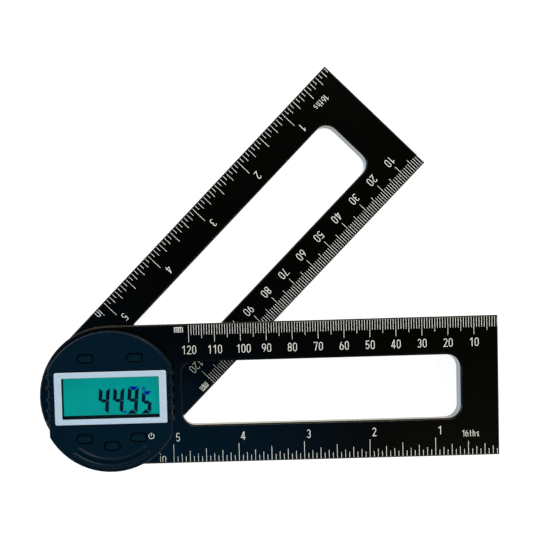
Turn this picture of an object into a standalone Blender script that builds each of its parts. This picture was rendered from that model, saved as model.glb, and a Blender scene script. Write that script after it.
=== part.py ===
"""Digital angle finder: two slotted rule arms on one hollow pivot, with a display head on the upper arm.

Metres, +Z up. The origin lies on the pivot axis, in the plane that the tool rests on. The upper arm points
along +X, and the lower arm, one level below it, stands open at REST_ANGLE. From the underside up, the stack
is: lower arm, upper arm, sensor rings, chassis plate, circuit board, display and case. The pivot hub hangs
from the chassis plate through both arms, and holds the coin cell, which is changed from below.
"""
import math

import bmesh
import bpy
from mathutils import Matrix

# Gaps, cuts and small corners
CUT_OVERRUN = 0.001
SEAT_GAP = 0.0003
RUNNING_GAP = 0.0003
SCREW_GAP = 0.0002
SMALL_CORNER = 0.0003

# Arms
ARM_REACH = 0.1509
ARM_WIDTH = 0.0542
ARM_THICKNESS = 0.0045
ARM_CHAMFER = 0.0005
ARM_SPACING = 0.0006
RAIL_WIDTH = 0.01475
SLOT_CLEARANCE = 0.0037
LOWER_SLOT_WEB = 0.0037
SLOT_END_WEB = 0.0147
SLOT_CORNER = 0.005
REST_ANGLE = math.radians(45.0)

# Case, on the round end of the upper arm
HEAD_SHIFT_X = 0.0016
HEAD_SHIFT_Y = -0.001
CASE_INSET = 0.0008
CASE_FLAT_SHARE = 0.8745
CASE_WALL = 0.0015
CASE_TOP_WALL = 0.0014
CASE_EDGE_RADIUS = 0.0006
BOSS_RADIUS = 0.0021
POST_RADIUS = 0.0019
POST_GAP = 0.00035
GRIP_RIB_COUNT = 5
GRIP_RIB_PITCH_SHARE = 0.1597
GRIP_RIB_WIDTH = 0.0013
GRIP_RIB_REACH = 0.0016
GRIP_RIB_HEIGHT = 0.0006
GRIP_RIB_SHIFT = 0.0016
GRIP_RIB_CHAMFER = 0.0002
ARC_RIB_SHARES = (0.74, 0.8316)
ARC_RIB_SHIFT = -0.0022
ARC_RIB_WIDTH = 0.0016
ARC_RIB_HEIGHT = 0.0006
ARC_RIB_CHAMFER = 0.0004
ARC_RIB_HALF_ANGLE = math.radians(39.0)

# Sensor rings, inside the posts, and the chassis plate above them
STATOR_POST_GAP = 0.0004
ROTOR_INSET = 0.0004
ROTOR_WIDTH = 0.00375
ROTOR_SEAT_HEIGHT = 0.0005
SENSOR_RING_THICKNESS = 0.0008
SENSOR_GAP = 0.0005
STATOR_CLEARANCE = 0.0005
CHASSIS_THICKNESS = 0.0012
HEADER_LENGTH = 0.006
HEADER_WIDTH = 0.0016

# Pivot, inside the rotor
HUB_WALL = 0.0027
HUB_FLANGE_LAP = 0.0025
HUB_FLANGE_THICKNESS = 0.001
SLEEVE_WALL = 0.001
COLLAR_INSET = 0.0006
COLLAR_THICKNESS = 0.0008
WAVE_SPRING_SPACE = 0.001
WAVE_SPRING_THICKNESS = 0.00025
WAVE_SPRING_AMPLITUDE = 0.00012
WAVE_SPRING_MARGIN = 0.0005
WAVE_COUNT = 3

# Coin cell, inside the pivot, and its contacts
CONTACT_SPACE = 0.0012
BATTERY_THICKNESS = 0.0032
BATTERY_TAPER = 0.0003
BATTERY_STEP = 0.0004
BATTERY_RIM = 0.0014
CLIP_WIDTH = 0.004
CLIP_THICKNESS = 0.0003
CLIP_FOOT = 0.0018
CLIP_OVERLAP = 0.0022
SPRING_WIRE_RADIUS = 0.00025
SPRING_SMALL_SHARE = 0.22
SPRING_LARGE_SHARE = 0.42
SPRING_TURNS = 4
SPRING_CLOSED_TURNS = 0.75

# Battery lid
LID_THICKNESS = 0.0017
LID_RIM_WIDTH = 0.0023
LID_BAR_WIDTH = 0.0036
LID_POCKET_DEPTH = 0.0011
LUG_COUNT = 3
LUG_LENGTH = 0.0011
LUG_HALF_ANGLE = math.radians(10.5)
LUG_THICKNESS = 0.0006
LUG_LEVEL = 0.001

# Display; the place shares are of the case's radius, from the middle of the case
DISPLAY_PLACE_SHARES = (0.0076, 0.0589)
BEZEL_MARGIN = 0.00217
BEZEL_DEPTH_SHARE = 0.7418
BEZEL_SIDE = 0.0028
BEZEL_RAIL = 0.0022
BEZEL_CORNER = 0.0007
BEZEL_THICKNESS = 0.0009
BEZEL_STAND = 0.0003
BEZEL_CHAMFER = 0.0001
LENS_MARGIN = 0.0013
LENS_THICKNESS = 0.0008
LCD_MARGIN = 0.0006
LCD_THICKNESS = 0.001
FRAME_WALL = 0.0013
FRAME_LIP = 0.0004
BACKLIGHT_THICKNESS = 0.0007
STRIP_WIDTH = 0.0014
STRIP_INSET = 0.0017

# Circuit board and switches
BOARD_THICKNESS = 0.001
BOARD_EDGE_GAP = 0.0005
CHIP_WIDTH = 0.006
CHIP_DEPTH = 0.004
CHIP_HEIGHT = 0.001
CHIP_PLACE_SHARES = (0.0, 0.535)
SWITCH_WIDTH = 0.0036
SWITCH_DEPTH = 0.0028
SWITCH_HEIGHT = 0.0007
SWITCH_PLUNGER_RADIUS = 0.0008

# Buttons, whose shares are of the case's radius too
BUTTON_WIDTH_SHARE = 0.2207
BUTTON_DEPTH_SHARE = 0.1183
BUTTON_CORNER = 0.0011
BUTTON_CHAMFER = 0.0002
BUTTON_RECESS = 0.0007
BUTTON_TRAVEL = 0.0005
BUTTON_FLANGE = 0.0006
BUTTON_FLANGE_THICKNESS = 0.0008
BUTTON_PLACE_SHARES = {
    "upper_left": (-0.3335, 0.6198),
    "upper_right": (0.3624, 0.6159),
    "lower_left": (-0.3772, -0.5191),
    "lower_middle": (0.0087, -0.6273),
    "lower_right": (0.3871, -0.5152),
}

# Screws
CASE_SCREW_RADIUS = 0.001
CASE_SCREW_HEAD_RADIUS = 0.0019
CASE_SCREW_HOLE_END = 0.001
CASE_SCREW_TIP_GAP = 0.0004
HUB_SCREW_RADIUS = 0.0007
HUB_SCREW_HEAD_RADIUS = 0.001
HUB_SCREW_LENGTH = 0.005
HUB_SCREW_SHIFT = 0.0001
HUB_SCREW_ANGLE = math.radians(45.0)
BOARD_SCREW_RADIUS = 0.0007
BOARD_SCREW_HEAD_RADIUS = 0.0013
BOARD_SCREW_HEAD_HEIGHT = 0.0007
BOARD_SCREW_PLACE_SHARES = ((0.0, 0.7151), (-0.1989, -0.478), (0.1989, -0.478))

# Facets
ARC_STEP = math.radians(6.0)
CORNER_STEPS = 3
SLOT_CORNER_STEPS = 6
CASE_EDGE_STEPS = 2
ROUND_STEPS = 44
HOLE_STEPS = 14
SPRING_STEPS = 14
SMOOTH_ANGLE = math.radians(30.0)
MERGE_DISTANCE = 0.000001

# Levels, worked out from the sizes above
LOWER_TOP = ARM_THICKNESS
UPPER_BOTTOM = LOWER_TOP + ARM_SPACING
UPPER_TOP = UPPER_BOTTOM + ARM_THICKNESS
FLANGE_BOTTOM = SEAT_GAP
FLANGE_TOP = FLANGE_BOTTOM + HUB_FLANGE_THICKNESS
COUNTERBORE_TOP = FLANGE_TOP + WAVE_SPRING_SPACE
COLLAR_BOTTOM = LOWER_TOP + SEAT_GAP
COLLAR_TOP = COLLAR_BOTTOM + COLLAR_THICKNESS
COLLAR_SEAT = COLLAR_TOP + RUNNING_GAP
SLEEVE_TOP = UPPER_TOP + ROTOR_SEAT_HEIGHT
ROTOR_BOTTOM = SLEEVE_TOP + SEAT_GAP
ROTOR_TOP = ROTOR_BOTTOM + SENSOR_RING_THICKNESS
STATOR_BOTTOM = ROTOR_TOP + SENSOR_GAP
STATOR_TOP = STATOR_BOTTOM + SENSOR_RING_THICKNESS
CHASSIS_BOTTOM = STATOR_TOP + SEAT_GAP
CHASSIS_TOP = CHASSIS_BOTTOM + CHASSIS_THICKNESS
HUB_TOP = CHASSIS_BOTTOM - SEAT_GAP
BOARD_BOTTOM = CHASSIS_TOP + SEAT_GAP
BOARD_TOP = BOARD_BOTTOM + BOARD_THICKNESS
BOARD_SEAT = BOARD_TOP + SEAT_GAP
BACKLIGHT_TOP = BOARD_SEAT + BACKLIGHT_THICKNESS
LCD_BOTTOM = BACKLIGHT_TOP + SEAT_GAP
LCD_TOP = LCD_BOTTOM + LCD_THICKNESS
FRAME_TOP = LCD_TOP + FRAME_LIP
LENS_BOTTOM = FRAME_TOP + SEAT_GAP
LENS_TOP = LENS_BOTTOM + LENS_THICKNESS
BEZEL_BOTTOM = LENS_TOP + SEAT_GAP
BEZEL_TOP = BEZEL_BOTTOM + BEZEL_THICKNESS
CASE_BOTTOM = UPPER_TOP + SEAT_GAP
CASE_TOP = BEZEL_TOP - BEZEL_STAND
CASE_CEILING = CASE_TOP - CASE_TOP_WALL
BUTTON_TOP = CASE_TOP - BUTTON_RECESS
BUTTON_FLANGE_TOP = CASE_CEILING - SEAT_GAP
BUTTON_BOTTOM = BUTTON_FLANGE_TOP - BUTTON_FLANGE_THICKNESS
SWITCH_TOP = BUTTON_BOTTOM - BUTTON_TRAVEL - SEAT_GAP
BATTERY_BOTTOM = LID_THICKNESS + SEAT_GAP
BATTERY_TOP = BATTERY_BOTTOM + BATTERY_THICKNESS

# Radii and widths, worked out from the arm's edge inward
ARM_HALF_WIDTH = ARM_WIDTH / 2
CASE_RADIUS = ARM_HALF_WIDTH - CASE_INSET
CASE_HALF_WIDTH = CASE_RADIUS * CASE_FLAT_SHARE
CASE_INNER_RADIUS = CASE_RADIUS - CASE_WALL
CASE_INNER_HALF_WIDTH = CASE_HALF_WIDTH - CASE_WALL
BOSS_CIRCLE = CASE_INNER_RADIUS - POST_GAP - POST_RADIUS
HEAD_SHIFT = math.hypot(HEAD_SHIFT_X, HEAD_SHIFT_Y)
STATOR_RADIUS = BOSS_CIRCLE - POST_RADIUS - HEAD_SHIFT - STATOR_POST_GAP
ROTOR_RADIUS = STATOR_RADIUS - ROTOR_INSET
COLLAR_RADIUS = ROTOR_RADIUS - COLLAR_INSET
SLEEVE_BORE = ROTOR_RADIUS - ROTOR_WIDTH
SLEEVE_RADIUS = SLEEVE_BORE + SLEEVE_WALL
ARM_BORE = SLEEVE_RADIUS + RUNNING_GAP
HUB_FLANGE_RADIUS = ARM_BORE + HUB_FLANGE_LAP
HUB_RADIUS = SLEEVE_BORE - RUNNING_GAP
STATOR_BORE = HUB_RADIUS + STATOR_CLEARANCE
HEADER_X = -(STATOR_BORE + STATOR_RADIUS) / 2
HUB_BORE = HUB_RADIUS - HUB_WALL
HUB_SCREW_CIRCLE = HUB_BORE + HUB_WALL / 2 + HUB_SCREW_SHIFT
BATTERY_RADIUS = HUB_BORE - CONTACT_SPACE
LID_RADIUS = HUB_BORE - RUNNING_GAP
LUG_RADIUS = LID_RADIUS + LUG_LENGTH
LUG_ENTRY_RADIUS = LUG_RADIUS + RUNNING_GAP
LUG_GROOVE_RADIUS = LUG_ENTRY_RADIUS + RUNNING_GAP
UPPER_SLOT_START = HEAD_SHIFT_X + CASE_HALF_WIDTH + SLOT_CLEARANCE
LOWER_SLOT_START = HUB_FLANGE_RADIUS + RUNNING_GAP + LOWER_SLOT_WEB
SLOT_END = ARM_REACH - SLOT_END_WEB
SLOT_WIDTH = ARM_WIDTH - 2 * RAIL_WIDTH
BEZEL_WIDTH = 2 * (CASE_HALF_WIDTH - BEZEL_MARGIN)
BEZEL_DEPTH = CASE_RADIUS * BEZEL_DEPTH_SHARE
WINDOW_WIDTH = BEZEL_WIDTH - 2 * BEZEL_SIDE
WINDOW_DEPTH = BEZEL_DEPTH - 2 * BEZEL_RAIL
LENS_WIDTH = WINDOW_WIDTH + 2 * LENS_MARGIN
LENS_DEPTH = WINDOW_DEPTH + 2 * LENS_MARGIN
LCD_WIDTH = WINDOW_WIDTH + 2 * LCD_MARGIN
LCD_DEPTH = WINDOW_DEPTH + 2 * LCD_MARGIN
FRAME_WIDTH = LCD_WIDTH + 2 * (SEAT_GAP + FRAME_WALL)
FRAME_DEPTH = LCD_DEPTH + 2 * (SEAT_GAP + FRAME_WALL)
BOSS_SHIFT_Y = CASE_RADIUS * DISPLAY_PLACE_SHARES[1] + FRAME_DEPTH / 2 + SEAT_GAP + BOSS_RADIUS
BUTTON_WIDTH = CASE_RADIUS * BUTTON_WIDTH_SHARE
BUTTON_DEPTH = CASE_RADIUS * BUTTON_DEPTH_SHARE
GRIP_RIB_PITCH = CASE_RADIUS * GRIP_RIB_PITCH_SHARE


# Places

def on_head(place):
    """A place given from the middle of the case, in the pivot's frame."""
    return (HEAD_SHIFT_X + place[0], HEAD_SHIFT_Y + place[1])


def share_of_case(shares):
    """A place given in shares of the case's radius, in the pivot's frame."""
    return on_head((shares[0] * CASE_RADIUS, shares[1] * CASE_RADIUS))


def four_corners(radius, y):
    """Four places on a circle of the given radius, each at the distance y from its X axis."""
    x = math.sqrt(radius ** 2 - y ** 2)
    return [(x, y), (-x, y), (-x, -y), (x, -y)]


HEAD_CENTRE = on_head((0.0, 0.0))
DISPLAY_CENTRE = share_of_case(DISPLAY_PLACE_SHARES)
BOSS_PLACES = [on_head(place) for place in four_corners(BOSS_CIRCLE, BOSS_SHIFT_Y)]
HUB_SCREW_PLACES = four_corners(HUB_SCREW_CIRCLE, HUB_SCREW_CIRCLE * math.sin(HUB_SCREW_ANGLE))
BOARD_SCREW_PLACES = [share_of_case(shares) for shares in BOARD_SCREW_PLACE_SHARES]
BUTTON_PLACES = {name: share_of_case(shares) for name, shares in BUTTON_PLACE_SHARES.items()}


# Scene, collections and materials

def clear_scene():
    for item in list(bpy.data.objects):
        bpy.data.objects.remove(item)


def new_collection(name):
    collection = bpy.data.collections.new(name)
    bpy.context.scene.collection.children.link(collection)
    return collection


clear_scene()
PARTS = new_collection("angle_finder")
CUTTERS = new_collection("cutters")


def finish(name, colour, roughness, metallic=0.0, alpha=1.0):
    material = bpy.data.materials.new(name)
    material.use_nodes = True
    shader = material.node_tree.nodes["Principled BSDF"]
    shader.inputs["Base Color"].default_value = (*colour, 1.0)
    shader.inputs["Roughness"].default_value = roughness
    shader.inputs["Metallic"].default_value = metallic
    shader.inputs["Alpha"].default_value = alpha
    material.diffuse_color = (*colour, alpha)
    return material


# Outlines: lists of points in a plane, listed once round

def polar(radius, angle, centre=(0.0, 0.0)):
    return (centre[0] + radius * math.cos(angle), centre[1] + radius * math.sin(angle))


def arc(radius, start, end, centre=(0.0, 0.0), steps=None):
    """Points along an arc, from angle start to angle end."""
    if steps is None:
        steps = max(2, math.ceil(abs(end - start) / ARC_STEP))
    return [polar(radius, start + (end - start) * step / steps, centre) for step in range(steps + 1)]


def circle(radius, centre=(0.0, 0.0)):
    return arc(radius, 0.0, 2 * math.pi, centre, ROUND_STEPS)[:-1]


def rounded_rectangle(width, depth, corner, centre=(0.0, 0.0), steps=CORNER_STEPS):
    """A rectangle with round corners, from its upper right corner."""
    points = []
    for quarter, (side, end) in enumerate(((1, 1), (-1, 1), (-1, -1), (1, -1))):
        middle = (centre[0] + side * (width / 2 - corner), centre[1] + end * (depth / 2 - corner))
        points += arc(corner, quarter * math.pi / 2, (quarter + 1) * math.pi / 2, middle, steps)
    return points


def flatted_circle(radius, half_width):
    """A circle cut flat on its left and right."""
    corner = math.acos(half_width / radius)
    return arc(radius, corner, math.pi - corner) + arc(radius, math.pi + corner, 2 * math.pi - corner)


def ring_sector(inner, outer, middle_angle, half_angle):
    start = middle_angle - half_angle
    end = middle_angle + half_angle
    return arc(outer, start, end) + arc(inner, end, start)


def bent_bar(radius, width, middle_angle, half_angle):
    """A bar along an arc, with round ends."""
    start = middle_angle - half_angle
    end = middle_angle + half_angle
    end_cap = arc(width / 2, end, end + math.pi, polar(radius, end), CORNER_STEPS)[1:-1]
    start_cap = arc(width / 2, start + math.pi, start + 2 * math.pi, polar(radius, start), CORNER_STEPS)[1:-1]
    return arc(radius + width / 2, start, end) + end_cap + arc(radius - width / 2, end, start) + start_cap


# Solids

def place_mesh(name, mesh, material, matrix=None):
    """A new object for a part, or for a cutter where no material is given."""
    part = bpy.data.objects.new(name, mesh)
    if matrix is not None:
        part.matrix_world = matrix
    mesh.shade_smooth()
    mesh.set_sharp_from_angle(angle=SMOOTH_ANGLE)
    if material is None:
        CUTTERS.objects.link(part)
        part.hide_render = True
        part.display_type = "WIRE"
    else:
        if not mesh.materials:
            mesh.materials.append(material)
        PARTS.objects.link(part)
    return part


def settled_mesh(source):
    """The evaluated mesh of an object, with its seams welded; the object itself is removed."""
    bpy.context.view_layer.update()
    depsgraph = bpy.context.evaluated_depsgraph_get()
    mesh = bpy.data.meshes.new_from_object(source.evaluated_get(depsgraph))
    mesh.name = source.name
    shape = bmesh.new()
    shape.from_mesh(mesh)
    bmesh.ops.remove_doubles(shape, verts=shape.verts, dist=MERGE_DISTANCE)
    shape.to_mesh(mesh)
    shape.free()
    bpy.data.objects.remove(source)
    return mesh


def extruded(name, outlines, depth, edge=0.0, edge_steps=0):
    """A mesh from flat outlines, the inner ones holes, made thick about their plane and bevelled by edge."""
    curve = bpy.data.curves.new(name, "CURVE")
    curve.dimensions = "2D"
    curve.fill_mode = "BOTH"
    curve.extrude = depth / 2 - edge
    curve.bevel_depth = edge
    curve.bevel_resolution = edge_steps
    curve.offset = -edge
    for outline in outlines:
        spline = curve.splines.new("POLY")
        spline.points.add(len(outline) - 1)
        for point, (x, y) in zip(spline.points, outline):
            point.co = (x, y, 0.0, 1.0)
        spline.use_cyclic_u = True
    drawn = bpy.data.objects.new(name, curve)
    bpy.context.scene.collection.objects.link(drawn)
    return settled_mesh(drawn)


def plate(name, outlines, bottom, top, material=None, edge=0.0, edge_steps=0, centre=(0.0, 0.0)):
    """A level plate from bottom to top, its outlines drawn about centre."""
    mesh = extruded(name, outlines, top - bottom, edge, edge_steps)
    return place_mesh(name, mesh, material, Matrix.Translation((*centre, (bottom + top) / 2)))


def upright_plate(name, outline, middle_y, thickness, material=None, edge=0.0):
    """A plate standing on edge: its outline gives x and height, and it is thick along Y."""
    mesh = extruded(name, [outline], thickness, edge)
    matrix = Matrix.Translation((0.0, middle_y, 0.0)) @ Matrix.Rotation(math.pi / 2, 4, "X")
    return place_mesh(name, mesh, material, matrix)


def box(name, size, centre, material=None):
    shape = bmesh.new()
    bmesh.ops.create_cube(shape, size=1.0, matrix=Matrix.Diagonal((*size, 1.0)))
    mesh = bpy.data.meshes.new(name)
    shape.to_mesh(mesh)
    shape.free()
    return place_mesh(name, mesh, material, Matrix.Translation(centre))


def rods(name, places, bottom, top, bottom_radius, top_radius):
    """One upright cylinder or cone at each place, together in one cutter."""
    shape = bmesh.new()
    for x, y in places:
        bmesh.ops.create_cone(shape, cap_ends=True, segments=HOLE_STEPS, radius1=bottom_radius,
                              radius2=top_radius, depth=top - bottom,
                              matrix=Matrix.Translation((x, y, (bottom + top) / 2)))
    mesh = bpy.data.meshes.new(name)
    shape.to_mesh(mesh)
    shape.free()
    return place_mesh(name, mesh, None)


def turned(name, profile, material=None, steps=ROUND_STEPS):
    """A solid turned about +Z from points (radius, height), listed down its outer side.

    A profile that starts on the axis is left open along it, and any other is closed into a ring.
    """
    mesh = bpy.data.meshes.new(name)
    edges = [(index, index + 1) for index in range(len(profile) - 1)]
    if profile[0][0] > 0.0:
        edges.append((len(profile) - 1, 0))
    mesh.from_pydata([(radius, 0.0, height) for radius, height in profile], edges, [])
    drawn = bpy.data.objects.new(name, mesh)
    bpy.context.scene.collection.objects.link(drawn)
    screw = drawn.modifiers.new("turn", "SCREW")
    screw.steps = steps
    screw.render_steps = steps
    screw.use_merge_vertices = True
    screw.merge_threshold = MERGE_DISTANCE
    return place_mesh(name, settled_mesh(drawn), material)


def cylinder_profile(radius, bottom, top):
    return [(0.0, top), (radius, top), (radius, bottom), (0.0, bottom)]


def ring_profile(inner, outer, bottom, top):
    return [(outer, top), (outer, bottom), (inner, bottom), (inner, top)]


def combine(part, tool, operation):
    tool.parent = part.parent
    modifier = part.modifiers.new(tool.name, "BOOLEAN")
    modifier.operation = operation
    modifier.object = tool


def cut(part, cutter):
    combine(part, cutter, "DIFFERENCE")


def join(part, addition):
    combine(part, addition, "UNION")


def drill(part, name, places, radius, bottom, top):
    """The same round hole at each place, right through from bottom to top."""
    cut(part, rods(name, places, bottom - CUT_OVERRUN, top + CUT_OVERRUN, radius, radius))


def copies(names, source, places, material):
    """One object for each name and place, all with the same mesh; the source is used up."""
    mesh = settled_mesh(source)
    for name, place in zip(names, places):
        place_mesh(name, mesh, material, Matrix.Translation(place))


def numbered(name, count):
    return ["%s_%d" % (name, number + 1) for number in range(count)]


# What turns with the lower arm hangs from this empty on the pivot axis

def make_pivot_axis():
    axis = bpy.data.objects.new("pivot_axis", None)
    axis.rotation_euler = (0.0, 0.0, REST_ANGLE)
    PARTS.objects.link(axis)
    return axis


# Arms

def make_arm(name, bottom, slot_start, material):
    """A rule arm with a round end about the pivot, a square free end, a long slot and the pivot's bore."""
    edge = arc(ARM_HALF_WIDTH, math.pi / 2, 3 * math.pi / 2)
    edge += [(ARM_REACH, -ARM_HALF_WIDTH), (ARM_REACH, ARM_HALF_WIDTH)]
    slot = rounded_rectangle(SLOT_END - slot_start, SLOT_WIDTH, SLOT_CORNER,
                             ((slot_start + SLOT_END) / 2, 0.0), SLOT_CORNER_STEPS)
    return plate(name, [edge, slot, circle(ARM_BORE)], bottom, bottom + ARM_THICKNESS, material, ARM_CHAMFER)


def make_lower_arm(axis, black):
    """Its underside is counterbored for the hub's flange and the wave spring."""
    part = make_arm("lower_arm", 0.0, LOWER_SLOT_START, black)
    part.parent = axis
    cut(part, turned("lower_arm_counterbore",
                     cylinder_profile(HUB_FLANGE_RADIUS + RUNNING_GAP, -CUT_OVERRUN, COUNTERBORE_TOP)))


def make_upper_arm(black):
    """Its underside is recessed for the sleeve's collar, and countersunk for the case's screws."""
    part = make_arm("upper_arm", UPPER_BOTTOM, UPPER_SLOT_START, black)
    cut(part, turned("upper_arm_collar_seat",
                     cylinder_profile(COLLAR_RADIUS + RUNNING_GAP, UPPER_BOTTOM - CUT_OVERRUN, COLLAR_SEAT)))
    hole = CASE_SCREW_RADIUS + SEAT_GAP
    drill(part, "upper_arm_screw_holes", BOSS_PLACES, hole, UPPER_BOTTOM, UPPER_TOP)
    head_level = UPPER_BOTTOM + SEAT_GAP
    cone_height = CASE_SCREW_HEAD_RADIUS - CASE_SCREW_RADIUS
    mouth = CASE_SCREW_HEAD_RADIUS + SEAT_GAP + CUT_OVERRUN
    cut(part, rods("upper_arm_countersinks", BOSS_PLACES, head_level - CUT_OVERRUN, head_level + cone_height,
                   mouth, hole))


# Pivot

def make_pivot_hub(steel):
    """A tube with a flange below the lower arm; its mouth has a groove and entries for the lid's lugs."""
    part = turned("pivot_hub", [
        (HUB_RADIUS, HUB_TOP), (HUB_RADIUS, FLANGE_TOP), (HUB_FLANGE_RADIUS, FLANGE_TOP),
        (HUB_FLANGE_RADIUS, FLANGE_BOTTOM), (HUB_BORE, FLANGE_BOTTOM), (HUB_BORE, HUB_TOP)], steel)
    inside = HUB_BORE - CUT_OVERRUN
    lug_middle = LUG_LEVEL + LUG_THICKNESS / 2
    half_groove = LUG_THICKNESS / 2 + RUNNING_GAP
    half_angle = LUG_HALF_ANGLE + RUNNING_GAP / LID_RADIUS
    entries = [ring_sector(inside, LUG_ENTRY_RADIUS, (2 * lug + 1) * math.pi / LUG_COUNT, half_angle)
               for lug in range(LUG_COUNT)]
    cut(part, plate("hub_lug_entries", entries, FLANGE_BOTTOM - CUT_OVERRUN, lug_middle))
    cut(part, turned("hub_lug_groove", ring_profile(inside, LUG_GROOVE_RADIUS, lug_middle - half_groove,
                                                    lug_middle + half_groove)))
    hole = HUB_SCREW_RADIUS + SCREW_GAP
    cut(part, rods("hub_screw_holes", HUB_SCREW_PLACES, CHASSIS_TOP - HUB_SCREW_LENGTH - SEAT_GAP,
                   HUB_TOP + CUT_OVERRUN, hole, hole))


def make_bearing_sleeve(axis, polymer):
    """It sits in the lower arm, spaces the arms by its collar, and runs up to the rotor."""
    bottom = COUNTERBORE_TOP + SEAT_GAP
    part = turned("bearing_sleeve", [
        (SLEEVE_RADIUS, SLEEVE_TOP), (SLEEVE_RADIUS, COLLAR_TOP), (COLLAR_RADIUS, COLLAR_TOP),
        (COLLAR_RADIUS, COLLAR_BOTTOM), (SLEEVE_RADIUS, COLLAR_BOTTOM), (SLEEVE_RADIUS, bottom),
        (SLEEVE_BORE, bottom), (SLEEVE_BORE, SLEEVE_TOP)], polymer)
    part.parent = axis


def make_wave_spring(steel):
    """A flat ring that rises and falls as it goes round the hub."""
    middle = (FLANGE_TOP + COUNTERBORE_TOP) / 2
    half = WAVE_SPRING_THICKNESS / 2
    part = turned("wave_spring", ring_profile(HUB_RADIUS + WAVE_SPRING_MARGIN,
                                              HUB_FLANGE_RADIUS - WAVE_SPRING_MARGIN,
                                              middle - half, middle + half), steel)
    for vertex in part.data.vertices:
        angle = math.atan2(vertex.co.y, vertex.co.x)
        vertex.co.z += WAVE_SPRING_AMPLITUDE * math.cos(WAVE_COUNT * angle)


# Coin cell

def make_battery(steel):
    """The larger can below, and the smaller cap above."""
    cap = BATTERY_TOP - BATTERY_STEP
    cap_radius = BATTERY_RADIUS - BATTERY_RIM
    tapered = BATTERY_RADIUS - BATTERY_TAPER
    turned("battery", [
        (0.0, BATTERY_TOP), (cap_radius, BATTERY_TOP), (cap_radius, cap), (tapered, cap),
        (BATTERY_RADIUS, cap - BATTERY_TAPER), (BATTERY_RADIUS, BATTERY_BOTTOM + BATTERY_TAPER),
        (tapered, BATTERY_BOTTOM), (0.0, BATTERY_BOTTOM)], steel)


def make_battery_lid(plastic):
    """A disc with three lugs, and a grip bar left standing between two finger pockets."""
    part = turned("battery_lid", cylinder_profile(LID_RADIUS, 0.0, LID_THICKNESS), plastic)
    lugs = [ring_sector(LID_RADIUS - LUG_LENGTH, LUG_RADIUS, 2 * lug * math.pi / LUG_COUNT, LUG_HALF_ANGLE)
            for lug in range(LUG_COUNT)]
    join(part, plate("lid_lugs", lugs, LUG_LEVEL, LUG_LEVEL + LUG_THICKNESS))
    radius = LID_RADIUS - LID_RIM_WIDTH
    reach = math.acos(LID_BAR_WIDTH / 2 / radius)
    pockets = [arc(radius, middle - reach, middle + reach) for middle in (math.pi / 2, 3 * math.pi / 2)]
    cut(part, plate("lid_pockets", pockets, -CUT_OVERRUN, LID_POCKET_DEPTH))


def make_contact_spring(steel):
    """A conical coil from the middle of the cell up to the board, with a flat turn at each end."""
    low = BATTERY_TOP + SEAT_GAP + SPRING_WIRE_RADIUS
    high = BOARD_BOTTOM - SEAT_GAP - SPRING_WIRE_RADIUS
    curve = bpy.data.curves.new("contact_spring", "CURVE")
    curve.dimensions = "3D"
    curve.bevel_depth = SPRING_WIRE_RADIUS
    curve.bevel_resolution = 2
    curve.use_fill_caps = True
    spline = curve.splines.new("POLY")
    count = SPRING_TURNS * SPRING_STEPS
    spline.points.add(count)
    for step, point in enumerate(spline.points):
        turn = step / SPRING_STEPS
        share = SPRING_SMALL_SHARE + (SPRING_LARGE_SHARE - SPRING_SMALL_SHARE) * turn / SPRING_TURNS
        radius = BATTERY_RADIUS * share
        rise = (turn - SPRING_CLOSED_TURNS) / (SPRING_TURNS - 2 * SPRING_CLOSED_TURNS)
        height = low + (high - low) * min(1.0, max(0.0, rise))
        angle = 2 * math.pi * turn
        point.co = (radius * math.cos(angle), radius * math.sin(angle), height, 1.0)
    drawn = bpy.data.objects.new("contact_spring", curve)
    bpy.context.scene.collection.objects.link(drawn)
    place_mesh("contact_spring", settled_mesh(drawn), steel)


def make_contact_clip(steel):
    """A strip down the bore beside the cell, bent inward to a foot under the board."""
    inner = BATTERY_RADIUS + SEAT_GAP
    outer = inner + CLIP_THICKNESS
    top = BOARD_BOTTOM - SEAT_GAP
    low = BATTERY_TOP - CLIP_OVERLAP
    toe = inner - CLIP_FOOT
    under = top - CLIP_THICKNESS
    outline = [(outer, low), (outer, top), (toe, top), (toe, under), (inner, under), (inner, low)]
    upright_plate("contact_clip", outline, 0.0, CLIP_WIDTH, steel)


# Sensor rings and chassis

def make_encoder_rotor(axis, board_green):
    profile = ring_profile(SLEEVE_BORE, ROTOR_RADIUS, ROTOR_BOTTOM, ROTOR_TOP)
    part = turned("encoder_rotor", profile, board_green)
    part.parent = axis


def make_encoder_stator(board_green):
    turned("encoder_stator", ring_profile(STATOR_BORE, STATOR_RADIUS, STATOR_BOTTOM, STATOR_TOP), board_green)


def make_sensor_connector(plastic):
    bottom = STATOR_TOP + SEAT_GAP
    top = BOARD_BOTTOM - SEAT_GAP
    box("sensor_connector", (HEADER_WIDTH, HEADER_LENGTH, top - bottom),
        (HEADER_X, 0.0, (bottom + top) / 2), plastic)


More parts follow.
